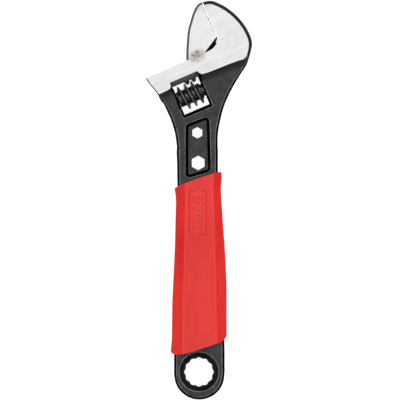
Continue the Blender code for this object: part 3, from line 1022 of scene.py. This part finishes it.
@dataclass
class Forging:
    """The frame: the head with its fixed jaw, the shank and the ring end."""

    black_half: float = 5.2
    edge_round: float = 1.3
    face_u: float = 75.1
    shoulder_w: float = 146.0
    channel_radius: float = 4.8
    channel_end: float = 80.6
    slot_half: float = 2.65
    window_low: Point = (44.45, 121.45)
    window_high: Point = (58.05, 139.05)
    pin_mouth_radius: float = 2.95
    pocket_floor: float = 2.5
    pocket_slope: float = 1.3
    small_hex: tuple[float, float, float] = (-0.2, 120.05, 5.0)
    large_hex: tuple[float, float, float] = (0.15, 104.9, 6.35)
    ring_across: float = 13.0
    ring_blunt: float = 0.12
    sink_radius: float = 9.8
    ruler_start: float = 33.9
    ruler_marks: int = 23
    ruler_line: float = 0.2
    ruler_depth: float = 0.07
    ruler_short: float = 1.05
    ruler_long: float = 1.6
    ruler_gap: float = 0.15
    shank_round: float = 1.8
    ground_w: float = 136.2
    step_foot: float = 131.0
    step_length: float = 5.2
    ground_edge: tuple[Point, ...] = (
        (36.0, 135.95),
        (40.0, 135.95),
        (42.9, 136.3),
        (43.6, 137.1),
        (44.1, 139.1),
        (58.9, 139.1),
        (59.7, 137.5),
        (60.8, 136.6),
        (64.0, 136.25),
        (75.0, 136.0),
        (80.0, 135.7),
        (82.8, 135.3),
        (84.4, 136.0),
        (85.5, 137.0),
    )

    def ground_line(self, u: float) -> float:
        """The w of the lower edge of the ground flat."""
        return between(u, self.ground_edge)

    def head_height(self, u: float, w: float) -> float:
        """Half the head's thickness at a point, before its edges are rounded.

        Args:
            u: The place along the slide.
            w: The place across it.

        Returns:
            The height.
        """
        line = self.ground_line(u)
        if w >= line:
            return HEAD_HALF - tip_taper(w)
        rise = max(0.0, (w - (line - self.step_length)) / self.step_length)
        foot = SHANK_HALF + 0.05
        low = between(w, [(88.0, foot), (108.0, foot), (120.0, 4.9), (131.0, self.black_half)])
        return low + (HEAD_HALF - self.black_half) * rise**3

    def surface(self, x: float, y: float) -> float:
        """The height of the front face at a point."""
        return max(SHANK_HALF, self.head_height(*to_slide(x, y)))

    def head_outline(self) -> Outline:
        """The head's outline, wide enough on the jaws' side for the mouth to be cut from it.

        Returns:
            The outline.
        """
        left = sharp(from_slide(33.4, 148.0))
        left += smooth(from_slide(34.4, 142.0), from_slide(35.3, 139.2), from_slide(36.0, 136.4))
        left += sharp(from_slide(36.2, 132.6), from_slide(36.95, 130.6))
        left += smooth(from_slide(37.12, 122.5), (-12.24, 123.0), (-11.45, 120.0), (-10.94, 117.0))
        left += sharp((-10.55, 113.5), (-10.1, 110.5))
        right = sharp((9.6, 110.5), (9.95, 113.5))
        right += smooth((10.21, 120.0), (11.34, 126.0), (12.87, 132.0), (15.27, 138.0), (18.38, 144.0))
        right += smooth((22.13, 150.0)) + sharp((24.75, 154.0), (25.6, 156.4))
        right += smooth((26.55, 159.6), (27.5, 163.4), (27.45, 166.0), (26.08, 170.0), (22.32, 176.0))
        right += smooth((16.06, 182.0), (10.91, 185.0), (7.2, 186.32)) + sharp((2.7, 185.7))
        return left + right + sharp(from_slide(70.0, 170.4), from_slide(70.0, 148.0))

    def shank_outline(self) -> Outline:
        """The handle's outline, down to the round ring end. Its upper end lies inside the head.

        Returns:
            The outline.
        """
        left = [(-9.4, 119.0), (-10.5, 113.0), (-10.45, 104.0), (-10.35, 95.0), (-9.95, 88.0), (-9.9, 80.0)]
        left += [(-10.2, 65.0), (-11.4, 45.0), (-12.1, 25.0), (-12.45, 9.0), (-12.5, 3.0)]
        arc = [math.radians(180.0 + 22.5 * step) for step in range(9)]
        end = [(0.17 + 12.65 * math.cos(a), -1.23 + 12.65 * math.sin(a)) for a in arc]
        right = [(12.9, 4.0), (12.92, 9.0), (12.85, 15.0), (12.6, 24.0), (12.7, 36.0), (12.4, 47.0)]
        right += [(11.8, 60.0), (10.8, 75.0), (10.25, 90.0), (10.1, 98.0), (10.05, 104.0)]
        right += [(10.0, 113.0), (9.0, 119.0)]
        first, *middle, last = left + end + right
        return sharp(first) + smooth(*middle) + sharp(last)

    def rounding(self, u: float, w: float) -> float:
        """The radius of the head's rim at a point of its outline.

        Args:
            u: The place along the slide.
            w: The place across it.

        Returns:
            The radius.
        """
        left = soft_step(w, 133.0, 137.0) * (1.0 - soft_step(u, 40.0, 50.0))
        right = soft_step(w, 134.0, 142.0) * soft_step(u, 70.0, 80.0)
        return self.edge_round - 0.75 * left + 0.45 * right

    def blank(self) -> Mesh:
        """The head's blank, as forged and with its cheeks ground.

        Returns:
            The blank.
        """
        climb = [0.0, 0.25, 0.45, 0.6, 0.72, 0.82, 0.91, 1.0]
        rows = [96.0, 102.0, 108.0, 114.0, 120.0, 125.5]
        rows += [self.step_foot + self.step_length * share for share in climb]
        rows += [144.0, TAPER_START, 163.0]
        line = [to_slide(x, y) for x, y in sampled(self.head_outline())]
        cheek = Cheek(
            height=self.head_height,
            rounding=self.rounding,
            rows=rows,
            columns=[40.0, *(u for u, _ in self.ground_edge[2:]), 68.0, 79.0],
            lift=lambda u: self.ground_line(u) - self.ground_w,
            ground_from=self.ground_w,
            shoulder=lambda u, w: 1.0 + 0.35 * soft_step(self.step_foot - w, 0.0, 6.0),
        )
        return cushion("forging", line, cheek)

    def mouth(self) -> Mesh:
        """The mouth: the shoulder, the throat's curve and the fixed jaw's face.

        Returns:
            The cutter.
        """
        low = self.shoulder_w
        throat = sharp((25.0, low), (67.0, low)) + smooth((70.4, low + 0.35))
        throat += sharp((73.4, 147.8), (73.3, 148.8), (self.face_u, 150.5))
        throat += sharp((self.face_u, 180.0), (25.0, 180.0))
        return plate("mouth", throat, place=SLIDE)

    def window_rims(self, side: float) -> Mesh:
        """The sloping surround of the worm's window on one face, with a rounded rim.

        Args:
            side: 1 for the front, -1 for the back.

        Returns:
            The cutter.
        """
        (low_u, low_w), (high_u, high_w) = self.window_low, self.window_high
        walls = [(0.4, 0.5, -3.0), (-0.9, -1.25, -0.8), (-1.08, -1.47, -0.42), (-1.25, -1.65, -0.13)]
        walls += [(-1.6, -2.0, 0.0), (-2.6, -3.0, 0.4)]
        rings = []
        for across, down, height in walls:
            lean = min(0.0, across) * 0.55
            top = high_w - 0.2
            corners = [(low_u + across, low_w + down), (high_u - across, low_w + down)]
            corners += [(high_u - across + lean * 0.4, top), (low_u + across - lean, top)]
            outline = rounded(corners, max(0.15, 0.5 - across * 0.4), 4, 8)
            rings.append([(u, w, side * (self.head_height(u, min(w, 134.0)) + height)) for u, w in outline])
        return skin("window_rim", rings, SLIDE)

    def pocket(self, side: float) -> Mesh:
        """The long pocket of one face, with sloping walls and a rounded rim that follows the surface.

        Args:
            side: 1 for the front, -1 for the back.

        Returns:
            The cutter.
        """
        shape = [(-6.1, 97.2), (6.3, 100.8), (5.75, 128.4), (-5.9, 124.0)]
        slope = self.pocket_slope
        floor_rows = [(-slope, 0.0), (-slope * 0.93, 0.06), (-slope * 0.78, 0.34)]
        rim_rows = [(-0.16, -0.62), (0.0, -0.32), (0.2, -0.12), (0.55, 0.01), (1.4, 0.4)]
        rings = []
        for grow, over in floor_rows + rim_rows:
            outline = rounded(spread(shape, grow), max(0.6, 1.9 + grow), 6, 14)
            if grow < -slope / 2.0:
                rings.append([(x, y, side * (self.pocket_floor + over)) for x, y in outline])
            else:
                rings.append([(x, y, side * (self.surface(x, y) + over)) for x, y in outline])
        return skin("pocket", rings)

    def hexagons(self) -> list[Work]:
        """The two hexagonal holes through the pocket's floor, with a small chamfer on both faces.

        Returns:
            The cuts.
        """
        steps = []
        for x, y, across in (self.small_hex, self.large_hex):
            radius, floor = across / math.sqrt(3.0), self.pocket_floor
            half = [(radius, floor - 0.26), (radius + 0.22, floor + 0.03), (radius + 0.22, THROUGH)]
            profile = [(r, -z) for r, z in reversed(half)] + half
            steps.append(Work(Fit.CUT, turned("hexagon", profile, upright(x, y), 6, 30.0)))
        return steps

    def ring_hole(self) -> list[Work]:
        """The 12-point hole, and the wide dish around it on both faces.

        Returns:
            The cuts.
        """
        tip, pieces = self.ring_across / math.sqrt(3.0), 8
        star: list[Point] = []
        for step in range(12 * pieces):
            degrees = 360.0 * step / (12 * pieces)
            near = degrees % 30.0
            reach = self.ring_across / 2.0 / math.cos(math.radians(15.0 + abs(near - 15.0)))
            angle = math.radians(degrees)
            reach = min(reach, tip - self.ring_blunt)
            star.append((reach * math.cos(angle), reach * math.sin(angle)))
        cutter = skin("ring_points", [[(x, y, z) for x, y in star] for z in (-THROUGH, THROUGH)])
        steps = [Work(Fit.CUT, cutter)]
        for side in (1.0, -1.0):
            top, rim = SHANK_HALF, self.sink_radius
            dish = [(tip - 0.25, side * (top - 2.3)), (tip + 0.35, side * (top - 1.95))]
            dish += [(rim - 0.75, side * (top - 0.80)), (rim - 0.3, side * (top - 0.34))]
            dish += [(rim - 0.02, side * (top - 0.14)), (rim + 0.4, side * (top + 0.02))]
            dish += [(rim + 1.4, side * (top + 0.4))]
            dished = turned("ring_dish", dish, upright(0.0, 0.0), 96, 1.9)
            # The dish's walls take painted shade.
            steps.append(Work(Fit.CUT, dished, wall=Zone.DISH))
        return steps

    def ruler(self) -> Work:
        """The millimetre scale cut along the shoulder of the front face, longer at every fifth mark.

        Returns:
            The cut.
        """
        work = bmesh.new()
        for mark in range(self.ruler_marks):
            u = self.ruler_start + mark
            length = self.ruler_short if mark % 5 else self.ruler_long
            left, right = u - self.ruler_line / 2.0, u + self.ruler_line / 2.0
            low, high = self.shoulder_w - length, self.shoulder_w - self.ruler_gap
            corners = [(left, low), (right, low), (right, high), (left, high)]
            heights = (HEAD_HALF - self.ruler_depth, HEAD_HALF + 0.5)
            floor, top = [[work.verts.new((*corner, z)) for corner in corners] for z in heights]
            for index in range(4):
                after = (index + 1) % 4
                work.faces.new((floor[index], floor[after], top[after], top[index]))
            work.faces.new(floor)
            work.faces.new(top)
        return Work(Fit.CUT, closed_mesh("ruler_marks", work, SLIDE), Zone.MACHINED)

    def build(self, shop: PaintShop) -> bpy.types.Object:
        """Forges, cuts and dresses the frame.

        Args:
            shop: The finishes.

        Returns:
            The piece.
        """
        half = SHANK_HALF
        shank = plate("shank", self.shank_outline(), -half, half, TO_ROW, self.shank_round, 7)
        channel = [(self.channel_radius, 25.0), (self.channel_radius, self.channel_end)]
        slot_low = (24.0, RAIL_W + 0.5, -self.slot_half)
        slot_high = (self.face_u - 0.1, 151.5, self.slot_half)
        pin_hole = [(WORM_BORE, 36.0), (WORM_BORE, 63.0)]
        pin_mouth = [(self.pin_mouth_radius, 30.0), (self.pin_mouth_radius, 39.8)]
        rail, axis = along_slide(0.0, RAIL_W), along_slide(0.0, WORM_W)
        steps = [
            Work(Fit.JOIN, shank),
            Work(Fit.CUT, self.mouth(), Zone.MACHINED),
            # The channel and the neck slot take painted shade.
            Work(Fit.CUT, turned("channel", channel, rail), Zone.DEEP_SHADE),
            Work(Fit.CUT, block("neck_slot", slot_low, slot_high), Zone.DEEP_SHADE),
            Work(Fit.CUT, block("window", (*self.window_low, -THROUGH), (*self.window_high, THROUGH))),
            *mirrored_pair(self.window_rims),
            Work(Fit.CUT, turned("pin_hole", pin_hole, axis, 40)),
            Work(Fit.CUT, turned("pin_mouth", pin_mouth, axis, 40)),
            *mirrored_pair(self.pocket),
            *self.hexagons(),
            *self.ring_hole(),
            self.ruler(),
        ]
        # The head's steep rims above the ground line take shop.rail, a painted highlight.
        finishes = [shop.black, shop.ground, shop.milled, shop.rail]
        # The channel's finish, rim and dish carry painted shade, and edge a painted highlight.
        finishes += [shop.deep_shade, shop.rim, shop.edge, shop.dish]
        mesh = worked("forging", self.blank(), steps, finishes)
        return fit_piece("forged_frame", mesh, Mount("frame", "frame"))


@dataclass
class SlidingJaw:
    """The sliding jaw: a blade on the shoulder, a thin neck in the slot and a toothed rail in the channel."""

    face_u: float = 74.75
    foot_w: float = 146.06
    tip_w: float = 170.0
    half: float = 6.3
    edge_round: float = 1.2
    throat_round: float = 0.3
    face_ease: float = 0.32
    neck_half: float = 2.35
    neck_start: float = 56.6
    rail_radius: float = 4.5
    rail_start: float = 38.5
    rail_end: float = 80.0
    flat_w: float = 136.45
    first_gash: float = 50.2
    tooth_tip: float = 1.0
    tooth_foot: float = 2.15

    def height(self, u: float, w: float) -> float:
        """Half the blade's thickness: thinner towards the tip and eased off along the gripping face.

        Args:
            u: The place along the slide.
            w: The place across it.

        Returns:
            The height.
        """
        face = self.face_ease * soft_step(u, 74.2, 74.85) * soft_step(w, 149.0, 153.0)
        return self.half - tip_taper(w) - face

    def blank(self) -> Mesh:
        """The blade's blank.

        Returns:
            The blank.
        """
        under = self.foot_w - 2.0
        outline = sharp((55.1, under)) + smooth((55.95, self.foot_w), (57.5, 149.7), (60.0, 154.7))
        outline += smooth((62.5, 159.3), (66.0, 163.8), (70.0, 168.1), (72.6, 169.75))
        outline += sharp((74.3, self.tip_w), (78.5, self.tip_w), (78.5, 152.9), (62.86, under))
        cheek = Cheek(
            height=self.height,
            rounding=lambda u, w: self.throat_round if u > 62.0 and w < 153.0 else self.edge_round,
            rows=[148.0, 150.0, 152.0, 154.5, TAPER_START, 157.5, 160.0, 163.0, 166.0, 168.0],
            columns=[64.0, 69.0, 74.2, 74.35, 74.5, 74.65],
            lift=lambda u: 0.0,
            ground_from=100.0,
            shoulder=lambda u, w: 1.0,
        )
        return cushion("jaw_blade", sampled(outline), cheek)

    def gashes(self) -> list[Work]:
        """The gaps between the rack's teeth, which lean with the worm's thread.

        Returns:
            The cuts.
        """
        lean = PITCH / (2.0 * math.pi * 5.45)
        tip_w = RAIL_W - self.rail_radius
        rise = (self.tooth_foot - self.tooth_tip) / 2.0 / (self.flat_w - tip_w)
        low_w = tip_w - 1.0
        foot = (PITCH - self.tooth_foot) / 2.0
        wide = foot + rise * (self.flat_w - low_w)
        steps = []
        for index in range(int((self.rail_end - self.first_gash) / PITCH) + 1):
            middle = self.first_gash + index * PITCH
            section = [(middle - wide, low_w), (middle + wide, low_w), (middle + foot, self.flat_w - 0.25)]
            section += [(middle + foot - 0.25, self.flat_w), (middle - foot + 0.25, self.flat_w)]
            section += [(middle - foot, self.flat_w - 0.25)]
            rings = [[(u + z * lean, w, z) for u, w in section] for z in (-7.0, 7.0)]
            steps.append(Work(Fit.CUT, skin("gash", rings, SLIDE), Zone.RAIL))
        return steps

    def build(self, shop: PaintShop) -> bpy.types.Object:
        """Cuts and dresses the jaw.

        Args:
            shop: The finishes.

        Returns:
            The piece.
        """
        face = block("face_trim", (self.face_u, 140.0, -THROUGH), (90.0, 180.0, THROUGH))
        foot = block("foot_trim", (40.0, 130.0, -THROUGH), (90.0, self.foot_w, THROUGH))
        neck = [(self.neck_start, RAIL_W), (self.face_u - 0.1, RAIL_W), (self.face_u - 0.1, 151.0)]
        neck += [(66.5, 148.5), (self.neck_start + 1.0, 147.2), (self.neck_start, 146.0)]
        web = skin("neck", [[(u, w, z) for u, w in neck] for z in (-self.neck_half, self.neck_half)], SLIDE)
        radius, ease, start, end = self.rail_radius, 0.35, self.rail_start, self.rail_end
        profile = [(radius - ease, start), (radius - 0.1, start + 0.12), (radius, start + ease)]
        profile += [(radius, end - ease), (radius - 0.1, end - 0.12), (radius - ease, end)]
        flat = block("rack_flat", (30.0, 130.0, -THROUGH), (self.first_gash, self.flat_w, THROUGH))
        steps = [
            Work(Fit.CUT, face, Zone.MACHINED),
            Work(Fit.CUT, foot, Zone.MACHINED),
            # The neck takes painted shade.
            Work(Fit.JOIN, web, Zone.DEEP_SHADE),
            Work(Fit.JOIN, turned("rail", profile, along_slide(0.0, RAIL_W)), Zone.RAIL),
            Work(Fit.CUT, flat, Zone.RAIL),
            *self.gashes(),
        ]
        # The blade's rounded rims take painted shade.
        finishes = [shop.jaw_edge_shade, shop.ground, shop.milled, shop.jaw_wall_shade_and_rail, shop.deep_shade]
        mesh = worked("sliding_jaw", self.blank(), steps, finishes)
        return fit_piece("sliding_jaw", mesh, Mount("movable_jaw", "movable_jaw"))


@dataclass
class WormDrive:
    """The worm in its window, the pin that it turns on, and the spring that takes up its play."""

    start: float = 44.5
    end: float = 57.15
    root: float = 4.05
    crest: float = 6.35
    first_crest: float = 46.6
    turns: int = 3
    crest_width: float = 0.7
    foot_width: float = 2.4
    pin_radius: float = 1.9
    pin_start: float = 37.5
    pin_head_end: float = 39.6
    pin_end: float = 62.6
    pin_head_radius: float = 2.8
    spring_radius: float = 2.65
    wire: float = 0.25
    spring_start: float = 52.9
    spring_end: float = 57.75
    spring_turns: int = 5

    def thread(self) -> Mesh:
        """The thread: a ridge with a rounded crest and curved flanks, swept as a right-handed helix.

        Returns:
            The thread, with its crest top in a zone of its own, which takes a painted highlight.
        """
        half_foot, half_crest = self.foot_width / 2.0 + 0.3, self.crest_width / 2.0
        flank = [(self.root - 0.6, half_foot), (self.root + 0.02, half_foot - 0.32), (self.root + 0.35, 0.86)]
        flank += [(self.crest - 0.75, half_crest + 0.16), (self.crest - 0.12, half_crest + 0.02)]
        flank += [(self.crest - 0.03, half_crest - 0.04)]
        top = [(self.crest, half_crest - 0.12), (self.crest, -(half_crest - 0.12))]
        profile = flank + top + [(r, -z) for r, z in reversed(flank)]
        start = self.first_crest - PITCH / 4.0
        per_turn = 64
        rings = []
        for step in range(self.turns * per_turn + 1):
            angle = 2.0 * math.pi * step / per_turn
            shift = start + PITCH * step / per_turn
            rings.append([(r * math.cos(angle), r * math.sin(angle), shift + z) for r, z in profile])
        mesh = skin("thread", rings, along_slide(0.0, WORM_W))
        axis = along_slide(0.0, WORM_W).inverted()
        for polygon in mesh.polygons:
            spot = axis @ polygon.center
            top = math.hypot(spot.x, spot.y) > self.crest - 0.05
            polygon.material_index = Zone.GROUND.value if top else Zone.SKIN.value
        return mesh

    def build(self, shop: PaintShop) -> list[bpy.types.Object]:
        """Turns and dresses the worm, the pin and the spring.

        Args:
            shop: The finishes.

        Returns:
            The three pieces.
        """
        return [self.worm(shop), self.pin(shop), self.spring(shop)]

    def worm(self, shop: PaintShop) -> bpy.types.Object:
        """The worm, bored for the pin and sunk at one end for the spring.

        Args:
            shop: The finishes.

        Returns:
            The piece.
        """
        axis = along_slide(0.0, WORM_W)
        ease = 0.3
        core = [(self.root - ease, self.start), (self.root, self.start + ease)]
        core += [(self.root, self.end - ease), (self.root - ease, self.end)]
        reach, seat = self.crest + 1.0, self.spring_radius + self.wire + 0.3
        ends = turned("worm_ends", [(reach, self.start), (reach, self.end)], axis, 32)
        bore = turned("worm_bore", [(WORM_BORE, 40.0), (WORM_BORE, 60.0)], axis, 48)
        spring_seat = turned("spring_seat", [(seat, self.spring_start - 0.3), (seat, 60.0)], axis, 48)
        steps = [Work(Fit.JOIN, self.thread(), Zone.KEPT), Work(Fit.TRIM, ends)]
        steps += [Work(Fit.CUT, bore), Work(Fit.CUT, spring_seat)]
        # The crest tops take the painted highlight.
        mesh = worked("worm_screw", turned("worm_core", core, axis, 96), steps, [shop.worm, shop.worm_crest_highlight])
        return fit_piece("worm_screw", mesh, Mount("adjusting_worm", "adjusting_worm"))

    def pin(self, shop: PaintShop) -> bpy.types.Object:
        """The pin, with a slot across its head.

        Args:
            shop: The finishes.

        Returns:
            The piece.
        """
        r, big = self.pin_radius, self.pin_head_radius
        profile = [(big - 0.25, self.pin_start), (big, self.pin_start + 0.25), (big, self.pin_head_end)]
        profile += [(r, self.pin_head_end), (r, self.pin_end - 0.3), (r - 0.3, self.pin_end)]
        shaft = turned("pin", profile, along_slide(0.0, WORM_W), 48)
        low = (self.pin_start - 1.0, WORM_W - 4.0, -0.4)
        slot = block("pin_slot", low, (self.pin_start + 0.9, WORM_W + 4.0, 0.4))
        mesh = worked("worm_axle", shaft, [Work(Fit.CUT, slot)], [shop.pin])
        return fit_piece("worm_axle", mesh, Mount("frame", "worm_pin"))

    def spring(self, shop: PaintShop) -> bpy.types.Object:
        """The coil between the worm and the window's wall.

        Args:
            shop: The finishes.

        Returns:
            The piece.
        """
        curve = bpy.data.curves.new("worm_coil", "CURVE")
        curve.dimensions = "3D"
        curve.bevel_depth = self.wire
        curve.bevel_resolution = 3
        curve.use_fill_caps = True
        spline = curve.splines.new("POLY")
        per_turn = 40
        count = self.spring_turns * per_turn
        spline.points.add(count)
        first, last = self.spring_start + self.wire, self.spring_end - self.wire
        for index, point in enumerate(spline.points):
            angle = 2.0 * math.pi * index / per_turn
            along = first + (last - first) * index / count
            spot = (self.spring_radius * math.cos(angle), self.spring_radius * math.sin(angle), along)
            point.co = (*spot, 1.0)
        mesh = welded(baked("worm_coil", curve), along_slide(0.0, WORM_W))
        mesh.materials.append(shop.wire)
        return fit_piece("worm_coil", mesh, Mount("frame", "worm_spring"))


@dataclass
class GripSleeve:
    """The moulded sleeve: a faceted bar with slanted ends, a sunk panel and a raised size marking."""

    half: float = 6.4
    side_half: float = 3.8
    clearance: float = 0.05
    ridge_round: float = 3.2
    side_round: float = 1.3
    mouth_round: float = 0.45
    hollow_round: float = 1.25
    blank_start: float = 5.0
    blank_end: float = 104.0
    blank_sections: int = 66
    panel_low: Point = (-4.6, 68.7)
    panel_high: Point = (4.2, 90.8)
    panel_depth: float = 0.5
    letter_height: float = 5.7
    letter_rise: float = 0.32
    letter_bevel: float = 0.1

    def stations(self) -> list[tuple[float, float, float, float, float]]:
        """The sections: y, left edge, the flat's two edges and right edge.

        Returns:
            One row for each section.
        """
        return [
            (5.0, -14.2, -8.1, 8.9, 14.1),
            (10.0, -14.15, -8.0, 8.9, 14.1),
            (13.5, -13.95, -7.95, 8.85, 14.08),
            (16.5, -13.6, -7.9, 8.8, 14.06),
            (22.0, -13.5, -7.8, 8.75, 14.03),
            (35.0, -13.3, -7.6, 8.6, 14.12),
            (45.0, -12.78, -7.3, 8.45, 14.1),
            (55.0, -12.2, -7.0, 8.3, 13.75),
            (65.0, -11.75, -6.7, 8.1, 13.18),
            (75.0, -11.5, -6.4, 7.9, 12.42),
            (85.0, -11.15, -6.1, 7.7, 11.9),
            (89.0, -11.35, -6.05, 7.65, 11.6),
            (92.0, -11.85, -6.0, 7.6, 11.55),
            (95.5, -11.9, -6.0, 7.6, 11.88),
            (98.5, -11.9, -6.0, 7.6, 12.05),
            (104.0, -11.9, -6.0, 7.6, 12.05),
        ]

    def section(self, y: float) -> list[Point]:
        """The sleeve's section at a y, as x and z with rounded ridges.

        Args:
            y: Where the section is.

        Returns:
            The section's points.
        """
        rows = self.stations()
        widths = [between(y, [(row[0], row[index]) for row in rows]) for index in (1, 2, 3, 4)]
        left, flat_left, flat_right, right = widths
        low = [(left, -self.side_half), (flat_left, -self.half)]
        low += [(flat_right, -self.half), (right, -self.side_half)]
        corners = low + [(x, -z) for x, z in reversed(low)]
        ridge, side = self.ridge_round, self.side_round
        return rounded(corners, [side, ridge, ridge, side] * 2, 6)

    def ends(self) -> list[Work]:
        """The cuts that slant and curve both ends.

        Returns:
            The cuts.
        """
        upper = sharp((-16.0, 89.0), (-12.2, 91.6)) + smooth((-11.2, 92.6), (-7.0, 94.6))
        upper += smooth((0.0, 97.1), (8.1, 99.7), (10.9, 100.3), (11.9, 99.9))
        upper += sharp((12.4, 98.4), (16.0, 97.0), (16.0, 110.0), (-16.0, 110.0))
        lower = sharp((-17.0, 13.0), (-14.3, 10.4)) + smooth((-12.9, 9.0), (-8.0, 9.0))
        lower += smooth((-5.0, 9.5), (0.0, 11.1), (7.0, 13.4), (12.0, 15.5))
        lower += sharp((14.2, 18.1), (17.0, 22.0), (17.0, 0.0), (-17.0, 0.0))
        return [Work(Fit.CUT, plate("upper", upper)), Work(Fit.CUT, plate("lower", lower))]

    def panel(self) -> Work:
        """The sunk panel that carries the size marking.

        Returns:
            The cut.
        """
        (left, low), (right, high) = self.panel_low, self.panel_high
        shape = [(left, low), (right, low), (right, high), (left, high)]
        walls = [(-0.28, self.half - self.panel_depth), (0.0, self.half - 0.05), (0.3, self.half + 0.5)]
        rings = [[(x, y, z) for x, y in rounded(spread(shape, grow), 0.8 + grow)] for grow, z in walls]
        return Work(Fit.CUT, skin("panel", rings))

    def body(self, shop: PaintShop, shank: Outline) -> bpy.types.Object:
        """The sleeve itself.

        Args:
            shop: The finishes.
            shank: The outline of the shank that it fits.

        Returns:
            The piece.
        """
        count = self.blank_sections
        rings = []
        for step in range(count + 1):
            y = self.blank_start + (self.blank_end - self.blank_start) * step / count
            rings.append([(x, y, z) for x, z in self.section(y)])
        inner = SHANK_HALF + self.clearance
        hollow = plate("hollow", shank, -inner, inner, TO_ROW, self.hollow_round, 3, self.clearance)
        steps = [*self.ends(), Round(self.mouth_round, 3, 60.0), Work(Fit.CUT, hollow), self.panel()]
        mesh = worked("sleeve_body", skin("sleeve_blank", rings), steps, [shop.red])
        return fit_piece("sleeve_body", mesh, Mount("frame", "grip_sleeve"))

    def marking(self, shop: PaintShop) -> bpy.types.Object:
        """The raised size in the panel, read down the handle.

        Args:
            shop: The finishes.

        Returns:
            The piece.
        """
        text = bpy.data.curves.new("size_marking", "FONT")
        text.body = '8"/200mm'
        text.size = self.letter_height
        text.align_x = "CENTER"
        text.align_y = "CENTER"
        text.extrude = self.letter_rise
        text.bevel_depth = self.letter_bevel
        text.bevel_resolution = 1
        text.offset = 0.05
        text.space_character = 0.94
        floor = self.half - self.panel_depth
        x, y = ((low + high) / 2.0 for low, high in zip(self.panel_low, self.panel_high))
        place = upright(x - 0.3, y) @ Matrix.Translation((0.0, 0.0, floor + 0.02))
        place = place @ Matrix.Rotation(math.radians(-90.0), 4, "Z")
        mesh = welded(baked("size_marking", text), place)
        # The lighter red is a painted highlight on the letters.
        mesh.materials.append(shop.letter_highlight_red)
        return fit_piece("size_marking", mesh, Mount("frame", "grip_sleeve"), False)


@dataclass
class Studio:
    """The pale floor, the soft lights and the camera."""

    view_width: float = 0.20083
    view_middle: Point = (0.00017, 0.00004)
    lean: float = -0.3
    floor_half: float = 3.0
    light_height: float = 1.1
    strip_aside: float = 0.56
    room_light: float = 0.12
    camera_height: float = 0.6

    def floor(self) -> None:
        """A plain pale floor."""
        bench = Bench("pale_floor")
        shade = bench.noise(3.0, 2.0)
        bench.feed("Base Color", bench.blend(shade, (0.52, 0.52, 0.52), (0.56, 0.56, 0.56)))
        bench.fixed(Roughness=0.9, Specular_IOR_Level=0.1)
        bench.fixed(Emission_Color=(1.0, 1.0, 1.0, 1.0), Emission_Strength=0.9)
        half, under = self.floor_half, -0.0003
        corners = [(-half, -half), (half, -half), (half, half), (-half, half)]
        work = bmesh.new()
        work.faces.new([work.verts.new((x, y, under)) for x, y in corners])
        mesh = bpy.data.meshes.new("floor")
        work.to_mesh(mesh)
        work.free()
        mesh.materials.append(bench.material)
        floor = bpy.data.objects.new("floor", mesh)
        bpy.context.scene.collection.objects.link(floor)

    def lamp(self, name: str, spot: Sequence[float], size: Point, power: float) -> None:
        """A soft rectangular light that faces the tool.

        Args:
            name: The light's name.
            spot: Where it stands, in metres.
            size: Its width across the tool's direction, and its height towards it.
            power: Its power in watts.
        """
        light = bpy.data.lights.new(name, "AREA")
        light.shape = "RECTANGLE"
        light.size, light.size_y = size
        light.energy = power
        lamp = bpy.data.objects.new(name, light)
        bpy.context.scene.collection.objects.link(lamp)
        lamp.location = spot
        lamp.rotation_euler = (-Vector(spot)).to_track_quat("-Z", "Y").to_euler()
        lamp.visible_camera = False

    def lights(self) -> None:
        """A wide light overhead, a strip on each side and beyond the head, and a dim room."""
        self.lamp("overhead", (0.0, 0.0, self.light_height), (0.72, 0.72), 1.75)
        aside = self.strip_aside
        strips = [("left_strip", -aside, 0.0, 4.5), ("right_strip", aside, 0.0, 4.5)]
        for name, x, y, power in [*strips, ("far_strip", 0.0, aside, 4.3)]:
            self.lamp(name, (x, y, self.light_height), (1.2, 0.13), power)
        room = bpy.data.worlds.new("room")
        room.use_nodes = True
        air = room.node_tree.nodes["Background"]
        air.inputs["Color"].default_value = (1.0, 1.0, 1.0, 1.0)
        air.inputs["Strength"].default_value = self.room_light
        bpy.context.scene.world = room

    def camera(self) -> None:
        """A camera straight above the tool, without perspective."""
        lens = bpy.data.cameras.new("camera")
        lens.type = "ORTHO"
        lens.ortho_scale = self.view_width
        camera = bpy.data.objects.new("camera", lens)
        bpy.context.scene.collection.objects.link(camera)
        camera.location = (*self.view_middle, self.camera_height)
        camera.rotation_euler = (0.0, 0.0, math.radians(self.lean))
        bpy.context.scene.camera = camera
        bpy.context.scene.view_settings.view_transform = "Standard"

    def build(self) -> None:
        """Sets the studio up."""
        self.floor()
        self.lights()
        self.camera()


def main() -> None:
    """Builds the wrench and its studio."""
    logging.basicConfig(level=logging.INFO, format="%(message)s")
    shop = PaintShop()
    Studio().build()
    forging = Forging()
    forging.build(shop)
    SlidingJaw().build(shop)
    WormDrive().build(shop)
    sleeve = GripSleeve()
    sleeve.body(shop, forging.shank_outline())
    sleeve.marking(shop)


if __name__ == "__main__":
    main()
